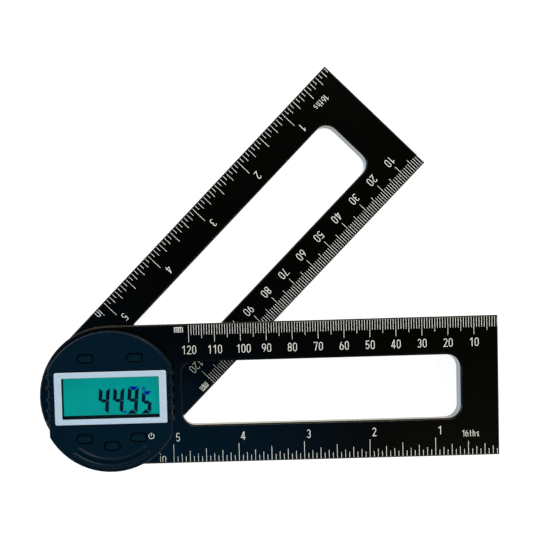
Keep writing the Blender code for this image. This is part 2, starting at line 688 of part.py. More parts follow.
def make_chassis_plate(alloy):
    """A plate above the sensor rings, on four posts that stand on the upper arm."""
    outline = flatted_circle(CASE_INNER_RADIUS - SEAT_GAP, CASE_INNER_HALF_WIDTH - SEAT_GAP)
    part = plate("chassis_plate", [outline], CHASSIS_BOTTOM, CHASSIS_TOP, alloy, centre=HEAD_CENTRE)
    join(part, rods("chassis_posts", BOSS_PLACES, CASE_BOTTOM, CHASSIS_BOTTOM + CHASSIS_THICKNESS / 2,
                    POST_RADIUS, POST_RADIUS))
    window = rounded_rectangle(HEADER_WIDTH + 2 * SEAT_GAP, HEADER_LENGTH + 2 * SEAT_GAP, SMALL_CORNER,
                               (HEADER_X, 0.0))
    cut(part, plate("chassis_openings", [circle(HUB_BORE), window], CHASSIS_BOTTOM - CUT_OVERRUN,
                    CHASSIS_TOP + CUT_OVERRUN))
    drill(part, "chassis_case_screw_holes", BOSS_PLACES, CASE_SCREW_RADIUS + SEAT_GAP,
          CASE_BOTTOM, CHASSIS_TOP)
    hole = HUB_SCREW_RADIUS + SCREW_GAP
    drill(part, "chassis_hub_screw_holes", HUB_SCREW_PLACES, hole, CHASSIS_BOTTOM, CHASSIS_TOP)
    cone_height = HUB_SCREW_HEAD_RADIUS - HUB_SCREW_RADIUS
    cut(part, rods("chassis_countersinks", HUB_SCREW_PLACES, CHASSIS_TOP - cone_height,
                   CHASSIS_TOP + CUT_OVERRUN, hole, hole + cone_height + CUT_OVERRUN))
    drill(part, "chassis_board_screw_holes", BOARD_SCREW_PLACES, BOARD_SCREW_RADIUS + SCREW_GAP,
          CHASSIS_BOTTOM, CHASSIS_TOP)


# Screws

def countersunk_profile(head_radius, shaft_radius, length):
    """A screw with its flat head at height zero and its shaft below."""
    cone_height = head_radius - shaft_radius
    return [(0.0, 0.0), (head_radius, 0.0), (shaft_radius, -cone_height), (shaft_radius, -length),
            (0.0, -length)]


def make_case_screws(steel):
    """Four screws, heads down in the upper arm, that run through the chassis posts into the case's bosses."""
    head_level = UPPER_BOTTOM + SEAT_GAP
    length = CASE_CEILING - CASE_SCREW_HOLE_END - CASE_SCREW_TIP_GAP - head_level
    profile = countersunk_profile(CASE_SCREW_HEAD_RADIUS, CASE_SCREW_RADIUS, length)
    upside_down = [(radius, -height) for radius, height in reversed(profile)]
    screw = turned("case_screw", upside_down, steps=HOLE_STEPS)
    places = [(*place, head_level) for place in BOSS_PLACES]
    copies(numbered("case_screw", len(places)), screw, places, steel)


def make_hub_screws(steel):
    profile = countersunk_profile(HUB_SCREW_HEAD_RADIUS, HUB_SCREW_RADIUS, HUB_SCREW_LENGTH)
    screw = turned("hub_screw", profile, steps=HOLE_STEPS)
    places = [(*place, CHASSIS_TOP) for place in HUB_SCREW_PLACES]
    copies(numbered("hub_screw", len(places)), screw, places, steel)


def make_board_screws(steel):
    """Three pan head screws through the board into the chassis plate."""
    profile = [(0.0, BOARD_SCREW_HEAD_HEIGHT), (BOARD_SCREW_HEAD_RADIUS, BOARD_SCREW_HEAD_HEIGHT),
               (BOARD_SCREW_HEAD_RADIUS, 0.0), (BOARD_SCREW_RADIUS, 0.0),
               (BOARD_SCREW_RADIUS, CHASSIS_BOTTOM - BOARD_SEAT), (0.0, CHASSIS_BOTTOM - BOARD_SEAT)]
    screw = turned("board_screw", profile, steps=HOLE_STEPS)
    places = [(*place, BOARD_SEAT) for place in BOARD_SCREW_PLACES]
    copies(numbered("board_screw", len(places)), screw, places, steel)


# Circuit board and switches

def make_circuit_board(board_green):
    """It fills the case, notched round the bosses, and carries one chip above the display."""
    outline = flatted_circle(CASE_INNER_RADIUS - BOARD_EDGE_GAP, CASE_INNER_HALF_WIDTH - BOARD_EDGE_GAP)
    part = plate("circuit_board", [outline], BOARD_BOTTOM, BOARD_TOP, board_green, centre=HEAD_CENTRE)
    chip_bottom = BOARD_TOP - BOARD_THICKNESS / 2
    chip_top = BOARD_TOP + CHIP_HEIGHT
    join(part, box("board_chip", (CHIP_WIDTH, CHIP_DEPTH, chip_top - chip_bottom),
                   (*share_of_case(CHIP_PLACE_SHARES), (chip_bottom + chip_top) / 2)))
    drill(part, "board_boss_notches", BOSS_PLACES, BOSS_RADIUS + SEAT_GAP, BOARD_BOTTOM, BOARD_TOP)
    drill(part, "board_screw_holes", BOARD_SCREW_PLACES, BOARD_SCREW_RADIUS + SCREW_GAP,
          BOARD_BOTTOM, BOARD_TOP)


def make_switches(steel):
    """One small switch on the board under each button."""
    body = box("switch", (SWITCH_WIDTH, SWITCH_DEPTH, SWITCH_HEIGHT), (0.0, 0.0, SWITCH_HEIGHT / 2))
    join(body, rods("switch_plunger", [(0.0, 0.0)], SWITCH_HEIGHT / 2, SWITCH_TOP - BOARD_SEAT,
                    SWITCH_PLUNGER_RADIUS, SWITCH_PLUNGER_RADIUS))
    names = ["switch_" + name for name in BUTTON_PLACES]
    level = BOARD_SEAT + SWITCH_HEIGHT / 2
    copies(names, body, [(*place, level) for place in BUTTON_PLACES.values()], steel)


def make_button(name, place, rubber):
    """A cap that fills its hole in the case, on a wider flange that keeps it in."""
    part = plate("button_" + name, [rounded_rectangle(BUTTON_WIDTH, BUTTON_DEPTH, BUTTON_CORNER)],
                 BUTTON_BOTTOM, BUTTON_TOP, rubber, BUTTON_CHAMFER, centre=place)
    flange = rounded_rectangle(BUTTON_WIDTH + 2 * BUTTON_FLANGE, BUTTON_DEPTH + 2 * BUTTON_FLANGE,
                               BUTTON_CORNER)
    join(part, plate("button_%s_flange" % name, [flange], BUTTON_BOTTOM, BUTTON_FLANGE_TOP, centre=place))


# Display

def display_plate(name, width, depth, corner, bottom, top, material=None, edge=0.0, opening=None):
    """A plate about the middle of the display, with an opening of the given width, depth and corner."""
    outlines = [rounded_rectangle(width, depth, corner)]
    if opening is not None:
        outlines.append(rounded_rectangle(*opening))
    return plate(name, outlines, bottom, top, material, edge, centre=DISPLAY_CENTRE)


def make_lcd(glass, plastic):
    """The panel, and the frame that stands round it between the board and the lens."""
    display_plate("lcd_panel", LCD_WIDTH, LCD_DEPTH, SMALL_CORNER, LCD_BOTTOM, LCD_TOP, glass)
    opening = (LCD_WIDTH + 2 * SEAT_GAP, LCD_DEPTH + 2 * SEAT_GAP, SMALL_CORNER)
    display_plate("lcd_frame", FRAME_WIDTH, FRAME_DEPTH, BEZEL_CORNER, BOARD_SEAT, FRAME_TOP, plastic,
                  opening=opening)


def make_backlight(clear, rubber):
    """The light guide under the panel, and the contact strip beside it."""
    x, y = DISPLAY_CENTRE
    level = (BOARD_SEAT + BACKLIGHT_TOP) / 2
    low_edge = y - LCD_DEPTH / 2
    strip_middle = low_edge + STRIP_INSET
    box("lcd_connector", (WINDOW_WIDTH, STRIP_WIDTH, BACKLIGHT_THICKNESS), (x, strip_middle, level), rubber)
    guide_low = strip_middle + STRIP_WIDTH / 2 + SEAT_GAP
    guide_high = y + LCD_DEPTH / 2
    box("backlight", (LCD_WIDTH, guide_high - guide_low, BACKLIGHT_THICKNESS),
        (x, (guide_low + guide_high) / 2, level), clear)


def make_window(glass, silver):
    display_plate("display_lens", LENS_WIDTH, LENS_DEPTH, BEZEL_CORNER, LENS_BOTTOM, LENS_TOP, glass)
    display_plate("display_bezel", BEZEL_WIDTH, BEZEL_DEPTH, BEZEL_CORNER, BEZEL_BOTTOM, BEZEL_TOP, silver,
                  BEZEL_CHAMFER, (WINDOW_WIDTH, WINDOW_DEPTH, SMALL_CORNER))


# Case

def make_display_case(plastic):
    """The head's moulded shell: open below, with bosses, grip ribs, arc ribs, window and button holes."""
    outline = flatted_circle(CASE_RADIUS, CASE_HALF_WIDTH)
    part = plate("display_case", [outline], CASE_BOTTOM, CASE_TOP, plastic, CASE_EDGE_RADIUS,
                 CASE_EDGE_STEPS, HEAD_CENTRE)
    cut(part, plate("case_hollow", [flatted_circle(CASE_INNER_RADIUS, CASE_INNER_HALF_WIDTH)],
                    CASE_BOTTOM - CUT_OVERRUN, CASE_CEILING, centre=HEAD_CENTRE))
    add_bosses(part)
    for side in (-1, 1):
        add_grip_ribs(part, side)
    add_arc_ribs(part)
    cut_window(part)
    cut_button_holes(part)


def add_bosses(part):
    """Four pillars under the case's top, each with a blind hole for its screw."""
    bottom = CHASSIS_TOP + SEAT_GAP
    join(part, rods("case_bosses", BOSS_PLACES, bottom, CASE_CEILING + CASE_TOP_WALL / 2,
                    BOSS_RADIUS, BOSS_RADIUS))
    hole = CASE_SCREW_RADIUS + SEAT_GAP
    cut(part, rods("case_boss_holes", BOSS_PLACES, bottom - CUT_OVERRUN, CASE_CEILING - CASE_SCREW_HOLE_END,
                   hole, hole))


def add_grip_ribs(part, side):
    """Narrow ribs that climb the flat side of the case and turn in over its top edge."""
    inner = CASE_HALF_WIDTH - GRIP_RIB_REACH
    wall = CASE_HALF_WIDTH - CASE_WALL / 2
    outer = CASE_HALF_WIDTH + GRIP_RIB_HEIGHT
    foot = CASE_BOTTOM + CASE_EDGE_RADIUS
    under = CASE_TOP - CASE_TOP_WALL / 2
    crest = CASE_TOP + GRIP_RIB_HEIGHT
    corner = (outer - CASE_EDGE_RADIUS, crest - CASE_EDGE_RADIUS)
    shoulder = arc(CASE_EDGE_RADIUS, 0.0, math.pi / 2, corner, CORNER_STEPS)
    profile = [(outer, foot)] + shoulder + [(inner, crest), (inner, under), (wall, under), (wall, foot)]
    outline = [(HEAD_SHIFT_X + side * x, height) for x, height in profile]
    for number in range(GRIP_RIB_COUNT):
        row = number - (GRIP_RIB_COUNT - 1) / 2
        name = "grip_rib_%s_%d" % ("left" if side < 0 else "right", number + 1)
        middle_y = HEAD_SHIFT_Y + GRIP_RIB_SHIFT + row * GRIP_RIB_PITCH
        join(part, upright_plate(name, outline, middle_y, GRIP_RIB_WIDTH, edge=GRIP_RIB_CHAMFER))


def add_arc_ribs(part):
    """Two ribs along arcs below the display, about a centre a little below the middle of the case."""
    outlines = [bent_bar(CASE_RADIUS * share, ARC_RIB_WIDTH, -math.pi / 2, ARC_RIB_HALF_ANGLE)
                for share in ARC_RIB_SHARES]
    join(part, plate("case_arc_ribs", outlines, CASE_TOP - CASE_TOP_WALL / 2, CASE_TOP + ARC_RIB_HEIGHT,
                     edge=ARC_RIB_CHAMFER, centre=on_head((0.0, ARC_RIB_SHIFT))))


def cut_window(part):
    """A pocket that takes the bezel, and within it an opening that takes the lens."""
    cut(part, display_plate("case_bezel_pocket", BEZEL_WIDTH + 2 * SEAT_GAP, BEZEL_DEPTH + 2 * SEAT_GAP,
                            BEZEL_CORNER, LENS_TOP, CASE_TOP + CUT_OVERRUN))
    cut(part, display_plate("case_window", LENS_WIDTH + 2 * SEAT_GAP, LENS_DEPTH + 2 * SEAT_GAP,
                            BEZEL_CORNER, CASE_CEILING - CUT_OVERRUN, LENS_TOP + CUT_OVERRUN))


def cut_button_holes(part):
    outlines = [rounded_rectangle(BUTTON_WIDTH + 2 * RUNNING_GAP, BUTTON_DEPTH + 2 * RUNNING_GAP,
                                  BUTTON_CORNER + RUNNING_GAP, place) for place in BUTTON_PLACES.values()]
    cut(part, plate("case_button_holes", outlines, CASE_CEILING - CUT_OVERRUN, CASE_TOP + CUT_OVERRUN))


# Assembly

def build():
    black = finish("black_anodised_aluminium", (0.010, 0.012, 0.016), 0.38, 0.6)
    case_plastic = finish("case_plastic", (0.004, 0.020, 0.032), 0.45)
    silver = finish("bezel_silver", (0.62, 0.68, 0.74), 0.35, 0.3)
    lens_clear = finish("lens_clear", (0.80, 0.90, 0.90), 0.05, 0.0, 0.3)
    lcd_glass = finish("lcd_glass", (0.010, 0.32, 0.29), 0.25)
    light_guide = finish("light_guide", (0.80, 0.85, 0.82), 0.3)
    frame_black = finish("frame_black", (0.010, 0.010, 0.011), 0.5)
    strip_rubber = finish("strip_rubber", (0.35, 0.05, 0.06), 0.7)
    board_green = finish("board_green", (0.010, 0.090, 0.035), 0.5)
    steel = finish("stainless_steel", (0.55, 0.56, 0.57), 0.28, 1.0)
    alloy = finish("chassis_alloy", (0.60, 0.61, 0.62), 0.45, 1.0)
    polymer = finish("bearing_polymer", (0.72, 0.70, 0.62), 0.5)
    button_rubber = finish("button_rubber", (0.045, 0.055, 0.062), 0.6)
    lid_plastic = finish("lid_plastic", (0.012, 0.013, 0.015), 0.5)

    axis = make_pivot_axis()
    make_lower_arm(axis, black)
    make_upper_arm(black)
    make_pivot_hub(steel)
    make_bearing_sleeve(axis, polymer)
    make_wave_spring(steel)
    make_battery(steel)
    make_battery_lid(lid_plastic)
    make_contact_spring(steel)
    make_contact_clip(steel)
    make_encoder_rotor(axis, board_green)
    make_encoder_stator(board_green)
    make_sensor_connector(frame_black)
    make_chassis_plate(alloy)
    make_circuit_board(board_green)
    make_switches(steel)
    make_case_screws(steel)
    make_hub_screws(steel)
    make_board_screws(steel)
    make_lcd(lcd_glass, frame_black)
    make_backlight(light_guide, strip_rubber)
    make_window(lens_clear, silver)
    make_display_case(case_plastic)
    for name, place in BUTTON_PLACES.items():
        make_button(name, place, button_rubber)


build()
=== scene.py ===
# %% [markdown]
# A digital angle finder: two slotted rule arms on one pivot, and a display head on the upper arm. Its
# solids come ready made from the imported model, at their real size and place. This lesson dresses them: it
# gives every part the finish of its real material, marks the two scales, and lights the reading on the
# display.

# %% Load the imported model
import math

import bmesh
import bpy
from mathutils import Matrix, Vector
from mathutils.geometry import delaunay_2d_cdt


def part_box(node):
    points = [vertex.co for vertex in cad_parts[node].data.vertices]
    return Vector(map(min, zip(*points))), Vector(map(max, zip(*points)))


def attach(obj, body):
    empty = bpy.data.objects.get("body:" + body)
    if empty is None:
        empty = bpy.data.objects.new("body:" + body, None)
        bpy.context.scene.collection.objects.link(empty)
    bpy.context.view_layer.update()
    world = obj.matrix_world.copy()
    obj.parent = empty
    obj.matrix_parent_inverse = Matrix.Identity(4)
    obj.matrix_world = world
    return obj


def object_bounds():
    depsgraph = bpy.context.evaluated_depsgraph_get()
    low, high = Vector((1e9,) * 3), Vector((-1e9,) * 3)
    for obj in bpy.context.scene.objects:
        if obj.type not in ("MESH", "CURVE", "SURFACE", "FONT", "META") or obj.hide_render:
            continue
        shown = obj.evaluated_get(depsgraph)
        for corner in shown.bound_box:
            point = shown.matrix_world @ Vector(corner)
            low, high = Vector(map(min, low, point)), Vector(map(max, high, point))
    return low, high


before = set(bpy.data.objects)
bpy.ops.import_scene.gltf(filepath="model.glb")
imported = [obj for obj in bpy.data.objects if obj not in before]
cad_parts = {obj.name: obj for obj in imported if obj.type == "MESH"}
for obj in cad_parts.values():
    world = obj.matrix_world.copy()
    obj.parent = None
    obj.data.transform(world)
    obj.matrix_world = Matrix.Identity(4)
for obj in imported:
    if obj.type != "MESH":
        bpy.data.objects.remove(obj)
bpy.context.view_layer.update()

# %% [markdown]
# Blender works in metres here, and a tool this size is measured in millimetres. One factor turns a size
# in millimetres into metres, so that every size below can be read as it would be on a drawing.

# %% Set the unit
MM = 0.001
print("one millimetre:", MM, "m")

# %% [markdown]
# The camera hangs about a quarter of a metre above the tool and looks almost straight down. Its axis
# meets the picture off the middle, as in a cropped photograph, and the lens shift does the same: it
# slides the view without turning the camera, so the arms keep their true perspective.

# %% Place the camera
PICTURE_SIDE = 540
SENSOR_WIDTH = 36.0
FOCAL_PIXELS = 605.44
LENS_AXIS_PIXEL = (180.16, 332.11)
CAMERA_PLACE = (30.0 * MM, 30.97 * MM, 243.66 * MM)
CAMERA_ANGLES = (-1.7341, 0.3789, -1.6573)

camera_data = bpy.data.cameras.new("camera")
camera_data.sensor_width = SENSOR_WIDTH
camera_data.lens = FOCAL_PIXELS / PICTURE_SIDE * SENSOR_WIDTH
camera_data.shift_x = 0.5 - LENS_AXIS_PIXEL[0] / PICTURE_SIDE
camera_data.shift_y = LENS_AXIS_PIXEL[1] / PICTURE_SIDE - 0.5
camera_data.clip_start = 1 * MM
camera = bpy.data.objects.new("camera", camera_data)
camera.location = CAMERA_PLACE
camera.rotation_euler = [math.radians(angle) for angle in CAMERA_ANGLES]
bpy.context.scene.collection.objects.link(camera)
bpy.context.scene.camera = camera
print("lens: %.1f mm" % camera_data.lens)

# %% [markdown]
# Colours are picked as they look on a screen, as sRGB hex values, but light adds up in linear values. One
# function turns the first into the second.

# %% Turn a screen colour into a linear one
SRGB_KNEE = 0.04045
SRGB_SLOPE = 12.92
SRGB_OFFSET = 0.055
SRGB_POWER = 2.4


def linear(hex_colour):
    """An sRGB hex colour as linear red, green, blue and a full alpha."""
    shares = [int(hex_colour[place:place + 2], 16) / 255 for place in (0, 2, 4)]
    return (*[share / SRGB_SLOPE if share <= SRGB_KNEE
              else ((share + SRGB_OFFSET) / (1 + SRGB_OFFSET)) ** SRGB_POWER for share in shares], 1.0)


print("mid grey:", linear("808080")[0])

# %% [markdown]
# A material is a tree of nodes. One function adds a node, sets it and links it. Its properties come by
# name, its unlinked inputs as values, and its linked inputs as the outputs that feed them.

# %% Add a node
def add(tree, kind, links=None, values=None, **settings):
    """One node, set and linked."""
    node = tree.nodes.new("ShaderNode" + kind)
    for name, value in settings.items():
        setattr(node, name, value)
    for name, value in (values or {}).items():
        node.inputs[name].default_value = value
    for name, output in (links or {}).items():
        tree.links.new(output, node.inputs[name])
    return node


# %% [markdown]
# The Mix node has a pair of inputs for each kind of value, and all the pairs have the same names, so its
# colour inputs and output are reached by number. A texture's scale counts features in a metre, so the
# size of one feature in millimetres gives it.

# %% Name what the node trees share
COLOUR_A, COLOUR_B, COLOUR_OUT = 6, 7, 2


def features_of(size):
    """The texture scale that makes one feature this many millimetres."""
    return 1 / (size * MM)


def new_material(name):
    """A material with its tree and its shader, whose sockets hold what is the same all over."""
    material = bpy.data.materials.new(name)
    material.use_nodes = True
    return material, material.node_tree, material.node_tree.nodes["Principled BSDF"]


def set_shader(shader, **values):
    """Set sockets by name, written with underscores for spaces."""
    for name, value in values.items():
        shader.inputs[name.replace("_", " ")].default_value = value


print("texture scale for features of 0.25 mm:", features_of(0.25))

# %% [markdown]
# Real edges are never perfectly sharp, and hands polish them first. A Bevel node rounds the shading
# normal near an edge. Where that normal leaves the true one, there is an edge, and the difference is a
# mask for the wear.

# %% Find the worn edges
WEAR_START, WEAR_FULL = 0.995, 0.88
EDGE_SAMPLES = 6


def worn_edges(tree, radius):
    """Near 1 along edges and 0 on open faces, and the normal rounded by this radius in millimetres."""
    rounded = add(tree, "Bevel", values={"Radius": radius * MM}, samples=EDGE_SAMPLES)
    true = add(tree, "NewGeometry")
    likeness = add(tree, "VectorMath", {0: rounded.outputs["Normal"], 1: true.outputs["Normal"]},
                   operation="DOT_PRODUCT")
    mask = add(tree, "MapRange", {"Value": likeness.outputs["Value"]},
               {"From Min": WEAR_START, "From Max": WEAR_FULL, "To Min": 0.0, "To Max": 1.0})
    return mask.outputs["Result"], rounded.outputs["Normal"]


# %% [markdown]
# Moulded, blasted and cast surfaces all have a fine grain. A noise texture makes one at its real size. It
# drives a bump, and the same noise lets the roughness wander a little, so that highlights break up. The
# noise hardly leaves the span from 0.3 to 0.7, so that span is stretched over the roughness.

# %% Grain a surface
NOISE_LOW, NOISE_HIGH = 0.3, 0.7


def grain(tree, shader, size, depth, roughness, spread, normal=None):
    """Bump of this grain size and depth in millimetres, and roughness that wanders by spread.

    It gives back the place on the object and the noise.
    """
    place = add(tree, "TexCoord")
    noise = add(tree, "TexNoise", {"Vector": place.outputs["Object"]},
                {"Scale": features_of(size), "Detail": 3.0})
    links = {"Height": noise.outputs["Fac"]}
    if normal is not None:
        links["Normal"] = normal
    bump = add(tree, "Bump", links, {"Distance": depth * MM, "Strength": 1.0})
    tree.links.new(bump.outputs["Normal"], shader.inputs["Normal"])
    gloss = add(tree, "MapRange", {"Value": noise.outputs["Fac"]},
                {"From Min": NOISE_LOW, "From Max": NOISE_HIGH,
                 "To Min": roughness - spread, "To Max": roughness + spread})
    tree.links.new(gloss.outputs["Result"], shader.inputs["Roughness"])
    return place.outputs["Object"], noise.outputs["Fac"]


# %% [markdown]
# The arms are aluminium plate, blasted to a fine satin and then anodised in a black dye. The film is
# clear oxide over dyed pores, so it shades like a dark dielectric and not like bare metal: nearly black
# from above, with a soft sheen towards the light. The pits of the blasting, about 0.05 mm wide, are far
# finer than a pixel, so they are drawn at 0.25 mm, which just breaks up the sheen.

# %% Black anodised aluminium
DYE_CLOUD = 28

black_anodised, tree, shader = new_material("black_anodised_aluminium")
set_shader(shader, IOR=1.6, Specular_IOR_Level=0.09)
wear, rounded = worn_edges(tree, radius=0.25)
place, _ = grain(tree, shader, size=0.25, depth=0.0012, roughness=0.18, spread=0.04, normal=rounded)
dye_drift = add(tree, "TexNoise", {"Vector": place}, {"Scale": features_of(DYE_CLOUD), "Detail": 2.0})
face_colour = add(tree, "Mix", {"Factor": dye_drift.outputs["Fac"]},
                  {COLOUR_A: linear("020201"), COLOUR_B: linear("040403")}, data_type="RGBA")
print("open faces of", black_anodised.name)

# %% [markdown]
# The arms' milled walls show more of the bare metal. The object's own normal finds them, as it hardly points
# up there. Their tint by the way they face, straw along Y and blue grey along X, is a painted reflection of
# warm and cool surroundings. Handling has thinned the film along the chamfers, which makes them a little
# lighter. On the chamfers that face the far side, a bright line is a painted highlight of the light behind
# the tool.

# %% Milled walls, worn chamfers, painted reflection and painted highlight
WALL_START, WALL_FULL = 0.6, 0.2
WALL_METAL = 0.9
HIGHLIGHT_START, HIGHLIGHT_FULL = 0.55, 0.70

facing = add(tree, "SeparateXYZ", {"Vector": add(tree, "TexCoord").outputs["Normal"]})
upright = add(tree, "Math", {0: facing.outputs["Z"]}, operation="ABSOLUTE")
wall = add(tree, "MapRange", {"Value": upright.outputs["Value"]},
           {"From Min": WALL_FULL, "From Max": WALL_START, "To Min": 1.0, "To Max": 0.0})
sideways = add(tree, "Math", {0: facing.outputs["X"]}, operation="ABSOLUTE")
# Painted reflection: the walls' straw and blue grey tint follows the way they face.
bare_wall_and_painted_reflection = add(tree, "Mix", {"Factor": sideways.outputs["Value"]},
                {COLOUR_A: linear("837B62"), COLOUR_B: linear("96A2AA")}, data_type="RGBA")
with_walls = add(tree, "Mix", {"Factor": wall.outputs["Result"], COLOUR_A: face_colour.outputs[COLOUR_OUT],
                               COLOUR_B: bare_wall_and_painted_reflection.outputs[COLOUR_OUT]}, data_type="RGBA")
# Painted highlight: chamfers that face the far side turn bright, over the lighter colour of wear.
painted_highlight_side = add(tree, "MapRange", {"Value": facing.outputs["Y"]},
               {"From Min": HIGHLIGHT_START, "From Max": HIGHLIGHT_FULL, "To Min": 0.0, "To Max": 1.0})
wear_and_painted_highlight = add(tree, "Mix", {"Factor": painted_highlight_side.outputs["Result"]},
              {COLOUR_A: linear("1F1E17"), COLOUR_B: linear("857F66")}, data_type="RGBA")
worn = add(tree, "Mix", {"Factor": wear, COLOUR_A: with_walls.outputs[COLOUR_OUT],
                         COLOUR_B: wear_and_painted_highlight.outputs[COLOUR_OUT]}, data_type="RGBA")
tree.links.new(worn.outputs[COLOUR_OUT], shader.inputs["Base Color"])
shine = add(tree, "Math", {0: wall.outputs["Result"]}, {1: WALL_METAL}, operation="MULTIPLY")
tree.links.new(shine.outputs["Value"], shader.inputs["Metallic"])
print(black_anodised.name, len(tree.nodes), "nodes")

# %% [markdown]
# The head's case is injection moulded ABS in a deep blue green. The mould was spark eroded, which leaves
# a fine leathery grain that spreads the highlights. The pigment is even, so only a slow drift of tone is
# added, and the edges and ribs are a touch lighter where fingers polish them.

# %% Moulded ABS of the case
TONE_DRIFT = 14


def moulded_plastic(name, dark, light, worn_colour, roughness, grain_size, grain_depth):
    """Injection moulded plastic with a spark eroded grain, a slow drift of tone and polished edges."""
    material, tree, shader = new_material(name)
    set_shader(shader, IOR=1.53, Specular_IOR_Level=0.10)
    wear, rounded = worn_edges(tree, radius=0.2)
    place, _ = grain(tree, shader, grain_size, grain_depth, roughness, spread=0.06, normal=rounded)
    drift = add(tree, "TexNoise", {"Vector": place}, {"Scale": features_of(TONE_DRIFT), "Detail": 1.0})
    tone = add(tree, "Mix", {"Factor": drift.outputs["Fac"]},
               {COLOUR_A: linear(dark), COLOUR_B: linear(light)}, data_type="RGBA")
    worn = add(tree, "Mix", {"Factor": wear, COLOUR_A: tone.outputs[COLOUR_OUT]},
               {COLOUR_B: linear(worn_colour)}, data_type="RGBA")
    tree.links.new(worn.outputs[COLOUR_OUT], shader.inputs["Base Color"])
    return material


case_abs = moulded_plastic("moulded_abs_blue_green", "000E18", "011320", "011622",
                           roughness=0.36, grain_size=0.30, grain_depth=0.006)
black_abs = moulded_plastic("moulded_abs_black", "0B0B0C", "121315", "1A1B1D",
                            roughness=0.48, grain_size=0.30, grain_depth=0.014)
cream_acetal = moulded_plastic("moulded_acetal", "CFC9B4", "D8D2BE", "E2DDCC",
                               roughness=0.38, grain_size=0.40, grain_depth=0.006)
print(case_abs.name, black_abs.name, cream_acetal.name)

# %% [markdown]
# The buttons are moulded silicone rubber. It is matte, slightly dusty in its pores, and close to the case
# in colour. A trace of sheen gives its faint glow at grazing angles.

# %% Silicone rubber
silicone, tree, shader = new_material("silicone_rubber_slate")
set_shader(shader, IOR=1.41, Specular_IOR_Level=0.05, Sheen_Weight=0.01, Sheen_Roughness=0.5)
wear, rounded = worn_edges(tree, radius=0.15)
_, pores = grain(tree, shader, size=0.20, depth=0.006, roughness=0.50, spread=0.06, normal=rounded)
dusty = add(tree, "Mix", {"Factor": pores}, {COLOUR_A: linear("00131D"), COLOUR_B: linear("031E2A")},
            data_type="RGBA")
touched = add(tree, "Mix", {"Factor": wear, COLOUR_A: dusty.outputs[COLOUR_OUT]},
              {COLOUR_B: linear("1A3038")}, data_type="RGBA")
tree.links.new(touched.outputs[COLOUR_OUT], shader.inputs["Base Color"])
print(silicone.name)

# %% [markdown]
# The bezel is plastic under a silver lacquer. The lacquer carries aluminium flakes of about 0.05 mm,
# drawn here at 0.15 mm so that they just show: each cell of a Voronoi texture is one flake, with its own
# brightness.

# %% Silver lacquer
FLAKE = 0.15

silver_lacquer, tree, shader = new_material("silver_lacquer_on_abs")
set_shader(shader, IOR=1.5, Metallic=0.25, Coat_Weight=0.3, Coat_Roughness=0.2)
wear, rounded = worn_edges(tree, radius=0.15)
place, _ = grain(tree, shader, size=0.8, depth=0.010, roughness=0.34, spread=0.04, normal=rounded)
flakes = add(tree, "TexVoronoi", {"Vector": place}, {"Scale": features_of(FLAKE)})
flake_tone = add(tree, "SeparateColor", {"Color": flakes.outputs["Color"]})
lacquer = add(tree, "Mix", {"Factor": flake_tone.outputs["Red"]},
              {COLOUR_A: linear("AEC0CC"), COLOUR_B: linear("C6D4DC")}, data_type="RGBA")
rubbed = add(tree, "Mix", {"Factor": wear, COLOUR_A: lacquer.outputs[COLOUR_OUT]},
             {COLOUR_B: linear("E4EBF0")}, data_type="RGBA")
print("open faces of", silver_lacquer.name)

# %% [markdown]
# The lacquer is sprayed on from the front, so the walls round the window stay dark plastic. The chamfer round
# the window is darkened with them, as painted shade at the edge of the window's recess. The normal finds
# every steep face of the bezel, and the distance from the window's middle tells the inner ones from the outer
# ones.

# %% Bare plastic and painted shade round the window
STEEP = 0.85
WINDOW_MIDDLE = (1.8, 0.549)
BARE_REACH = (18.4, 7.9)

facing = add(tree, "SeparateXYZ", {"Vector": add(tree, "TexCoord").outputs["Normal"]})
upright = add(tree, "Math", {0: facing.outputs["Z"]}, operation="ABSOLUTE")
is_wall = add(tree, "Math", {0: upright.outputs["Value"]}, {1: STEEP}, operation="LESS_THAN")
from_middle = add(tree, "VectorMath", {0: place}, {1: (WINDOW_MIDDLE[0] * MM, WINDOW_MIDDLE[1] * MM, 0.0)},
                  operation="SUBTRACT")
distance = add(tree, "VectorMath", {0: from_middle.outputs["Vector"]}, operation="ABSOLUTE")
reach = add(tree, "SeparateXYZ", {"Vector": distance.outputs["Vector"]})
inside_x = add(tree, "Math", {0: reach.outputs["X"]}, {1: BARE_REACH[0] * MM}, operation="LESS_THAN")
inside_y = add(tree, "Math", {0: reach.outputs["Y"]}, {1: BARE_REACH[1] * MM}, operation="LESS_THAN")
inside = add(tree, "Math", {0: inside_x.outputs["Value"], 1: inside_y.outputs["Value"]}, operation="MULTIPLY")
# The dark colour is bare plastic on the walls and painted shade on the window's chamfer.
bare_and_painted_shade = add(tree, "Math", {0: inside.outputs["Value"], 1: is_wall.outputs["Value"]}, operation="MULTIPLY")
coloured = add(tree, "Mix", {"Factor": bare_and_painted_shade.outputs["Value"], COLOUR_A: rubbed.outputs[COLOUR_OUT]},
               {COLOUR_B: linear("0C0D0E")}, data_type="RGBA")
tree.links.new(coloured.outputs[COLOUR_OUT], shader.inputs["Base Color"])
print(silver_lacquer.name, len(tree.nodes), "nodes")

# %% [markdown]
# The window is clear cast acrylic. A flat window hardly bends what lies a millimetre below it, so a
# transparent shader lets the display through in full light, and a Fresnel share of gloss lies on top. A
# coating against glare leaves about an eighth of the gloss of bare acrylic, and faint ripples from the
# casting keep it from being a perfect mirror.

# %% Clear acrylic
RIPPLE = 6
COATED_SHARE = 0.12

